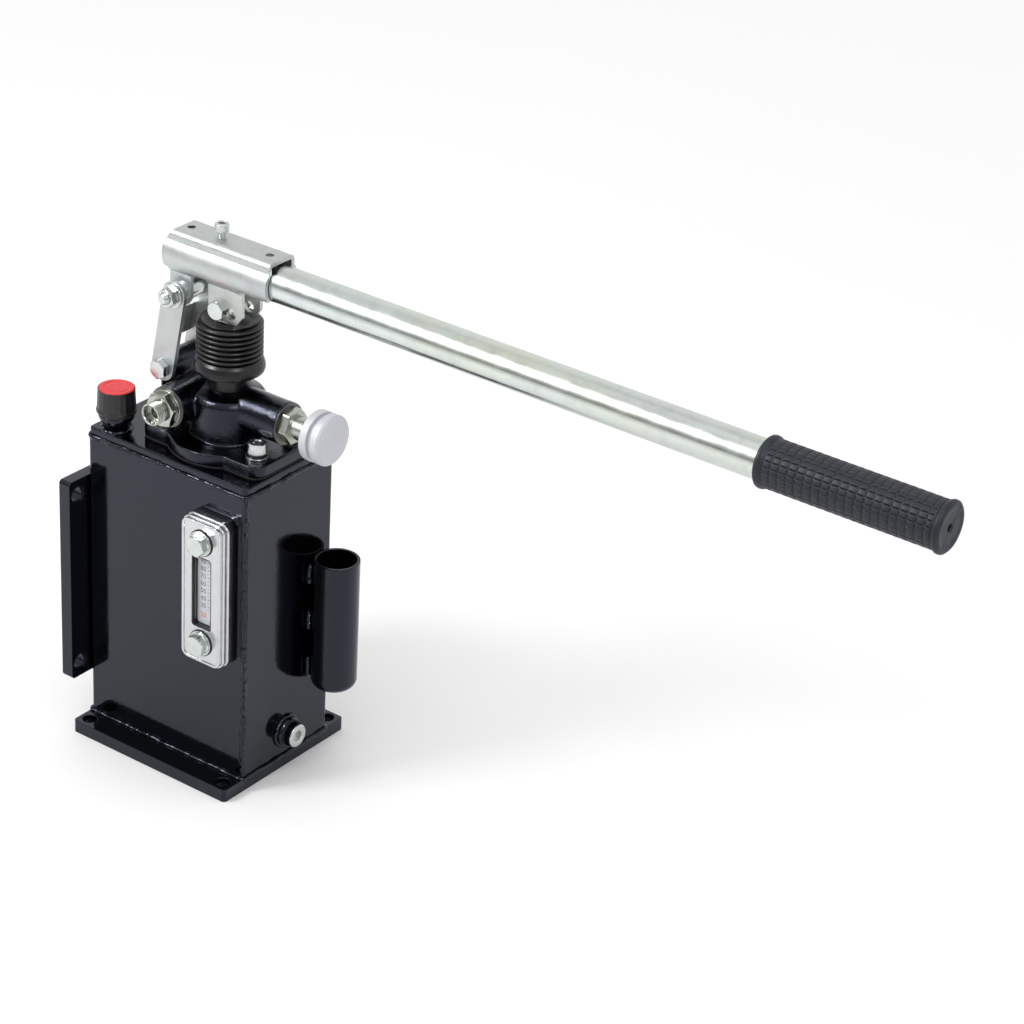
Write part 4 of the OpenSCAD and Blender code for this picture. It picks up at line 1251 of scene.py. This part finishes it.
def pivot_fasteners():
    """Bolts, nuts and washers of the linkage, with real threads on the ends that show."""
    lower, top = middle("link_lower_nut"), middle("ear_bush")
    near = low("link_near").y - 0.2
    far = high("link_far").y + 0.2
    bolt("Link_lower_bolt", lower, (near, far, 0), GAUGE_SIDE, 0.5, 9.4, body="root")
    make("Link_lower_nut", nut(lower, far, FAR_SIDE, 0.9), ZINC, sharp=35)
    near, far = low("linkage_washers").y, high("linkage_washers").y
    tip = low("link_upper_bolt").y
    bolt("Link_upper_bolt", top, (near, far, 0.02), FAR_SIDE, 0.3, near - tip, 1.1)
    pin = Vector((middle("gland_bush").x, 0, middle("piston_pin_bolt").z))
    ear = high("ear_bush").y + 3
    nuts = nut(top, near - 0.02, GAUGE_SIDE, 0.75), nut(pin, ear + 0.05, FAR_SIDE, 0.2)
    make("Linkage_nuts", joined(*nuts), ZINC, "lever_holder", sharp=35)
    spacer = low("link_far").y - ear - 0.3
    rings = [
        washer(radius, M8_HOLE, thickness, (top.x, y, top.z), side, ease)
        for radius, thickness, y, side, ease in (
            (8.8, 1.6, near + 1.6, GAUGE_SIDE, 0.3), (8.8, 1.6, far - 1.6, FAR_SIDE, 0.3),
            (8.0, spacer, -ear, GAUGE_SIDE, 0.4), (8.0, spacer, ear, FAR_SIDE, 0.4),
        )
    ]
    make("Linkage_washers", joined(*rings), ZINC, "lever_holder")
    bush_length = 2 * (ear - 3) - 0.04
    bush = washer(7, M8_HOLE, bush_length, (top.x, ear - 3.02, top.z), GAUGE_SIDE, 0.4)
    make("Ear_bush", bush, ZINC, "lever_holder")
    bolt("Piston_pin_bolt", pin, (-ear, ear, 0.02), GAUGE_SIDE, 0.42, 8.9)


def holder():
    """Folded sheet that carries the lever, and the screw that locks the lever in it."""
    cad_copy("Lever_holder", 0.6, ZINC_SHEET, "lever_holder", 28)
    x = middle("lock_screw").x
    top = high("lock_screw").z
    base = low("lock_screw").z
    shank = thread(3, 1.0, top - 6 - base, (x, 0, top - 6), -UP, 0.6)
    head = socket_head(10, 6, 5, (x, 0, top - 6), UP, knurl=40)
    make("Lock_screw", joined(shank, head), ZINC, "lock_screw", sharp=35)
    cad_copy("Piston_rod", 0.4, STEEL, "piston")


# --- lever


def lever():
    """Zinc-plated tube and the rubber grip with its grid of raised squares."""
    lo, hi = low("lever_tube"), high("lever_tube")
    z = middle("lever_tube").z
    r = size("lever_tube").z / 2
    length = hi.x - lo.x
    wall = 2.5
    inner, half = r - wall, length / 2
    outline = eased([
        (inner, half), (inner, 0), (r, 0), (r, length), (inner, length), (inner, half),
    ], 0.4)[:-1]
    tube = lathe(outline, (lo.x, 0, z), LEVER_SIDE, 128, True)
    make("Lever_tube", tube, ZINC_TUBE, "lever")
    grip(z, r)


def grip(z, tube_r):
    """Rubber grip turned from its outline, with the squares raised on it."""
    lo, hi = low("lever_grip"), high("lever_grip")
    length = hi.x - lo.x
    flange_r = (hi.z - lo.z) / 2
    body_r = flange_r - 1.9
    flange = 5.5
    steps = 288
    across = 24
    pitch = 6.0
    raised = 0.75
    bore = tube_r + 0.05
    outline = eased([
        (bore, 4.0), (bore, 0.4), (tube_r + 0.5, 0), (flange_r - 1.4, 0), (flange_r - 0.3, 0.8),
        (flange_r, 2.2), (flange_r - 0.5, 4.2), (body_r + 0.3, flange),
    ], 0.5, 3)
    rows = int((length - 2 * flange) / 0.42)
    for k in range(1, rows):
        outline.append((body_r, flange + (length - 2 * flange) * k / rows))
    outline += eased([(radius, length - back) for radius, back in (
        (body_r + 0.3, flange), (flange_r - 0.6, 4.6), (flange_r, 3.4), (flange_r - 0.2, 1.6),
        (flange_r - 2.0, 0.1), (flange_r - 4, 0.0), (flange_r - 6.5, 0.55), (4.2, 0.7), (3.2, 0.9),
        (2.6, 1.6), (2.5, 3.6), (2.5, 3.95), (tube_r, 3.97), (bore, 5),
    )], 0.4, 3)
    u, v, d = axes(LEVER_SIDE)
    origin = Vector((lo.x, 0, z))
    points, rings = [], []
    for radius, h in outline:
        for i in range(steps):
            a = 2 * pi * i / steps
            r = radius
            if flange + 1.0 < h < length - flange - 1.0 and radius > tube_r + 0.5:
                along = abs(((h - flange) / pitch) % 1.0 - 0.5)
                round_it = abs((a * across / (2 * pi)) % 1.0 - 0.5)
                edge_a = min(1.0, max(0.0, (0.455 - along) / 0.05))
                edge_b = min(1.0, max(0.0, (0.45 - round_it) / 0.06))
                dome = 1 - 0.25 * (2 * along) ** 2
                r += raised * (edge_a * edge_b) ** 0.6 * dome - 0.12
            drop = 0.0
            if h > length - 1.2 and 3.4 < radius < flange_r - 2.2:
                drop = 0.22 * max(0.0, 1 - abs(sin(a - 0.9)) * radius / 0.5)
            points.append(origin + (u * cos(a) + v * sin(a)) * r + d * (h - drop))
        rings.append(steps)
    shape = points, ring_grid(rings, steps, True)
    make("Lever_grip", shape, GRIP, "lever", sharp=80, weighted=False)


for build in (
    tank, plates, storage_tube, filler, drain, gauge, casting, foot_fasteners, pressure_port,
    release_valve, bellows, hidden_metal, links, pivot_fasteners, holder, lever,
):
    build()
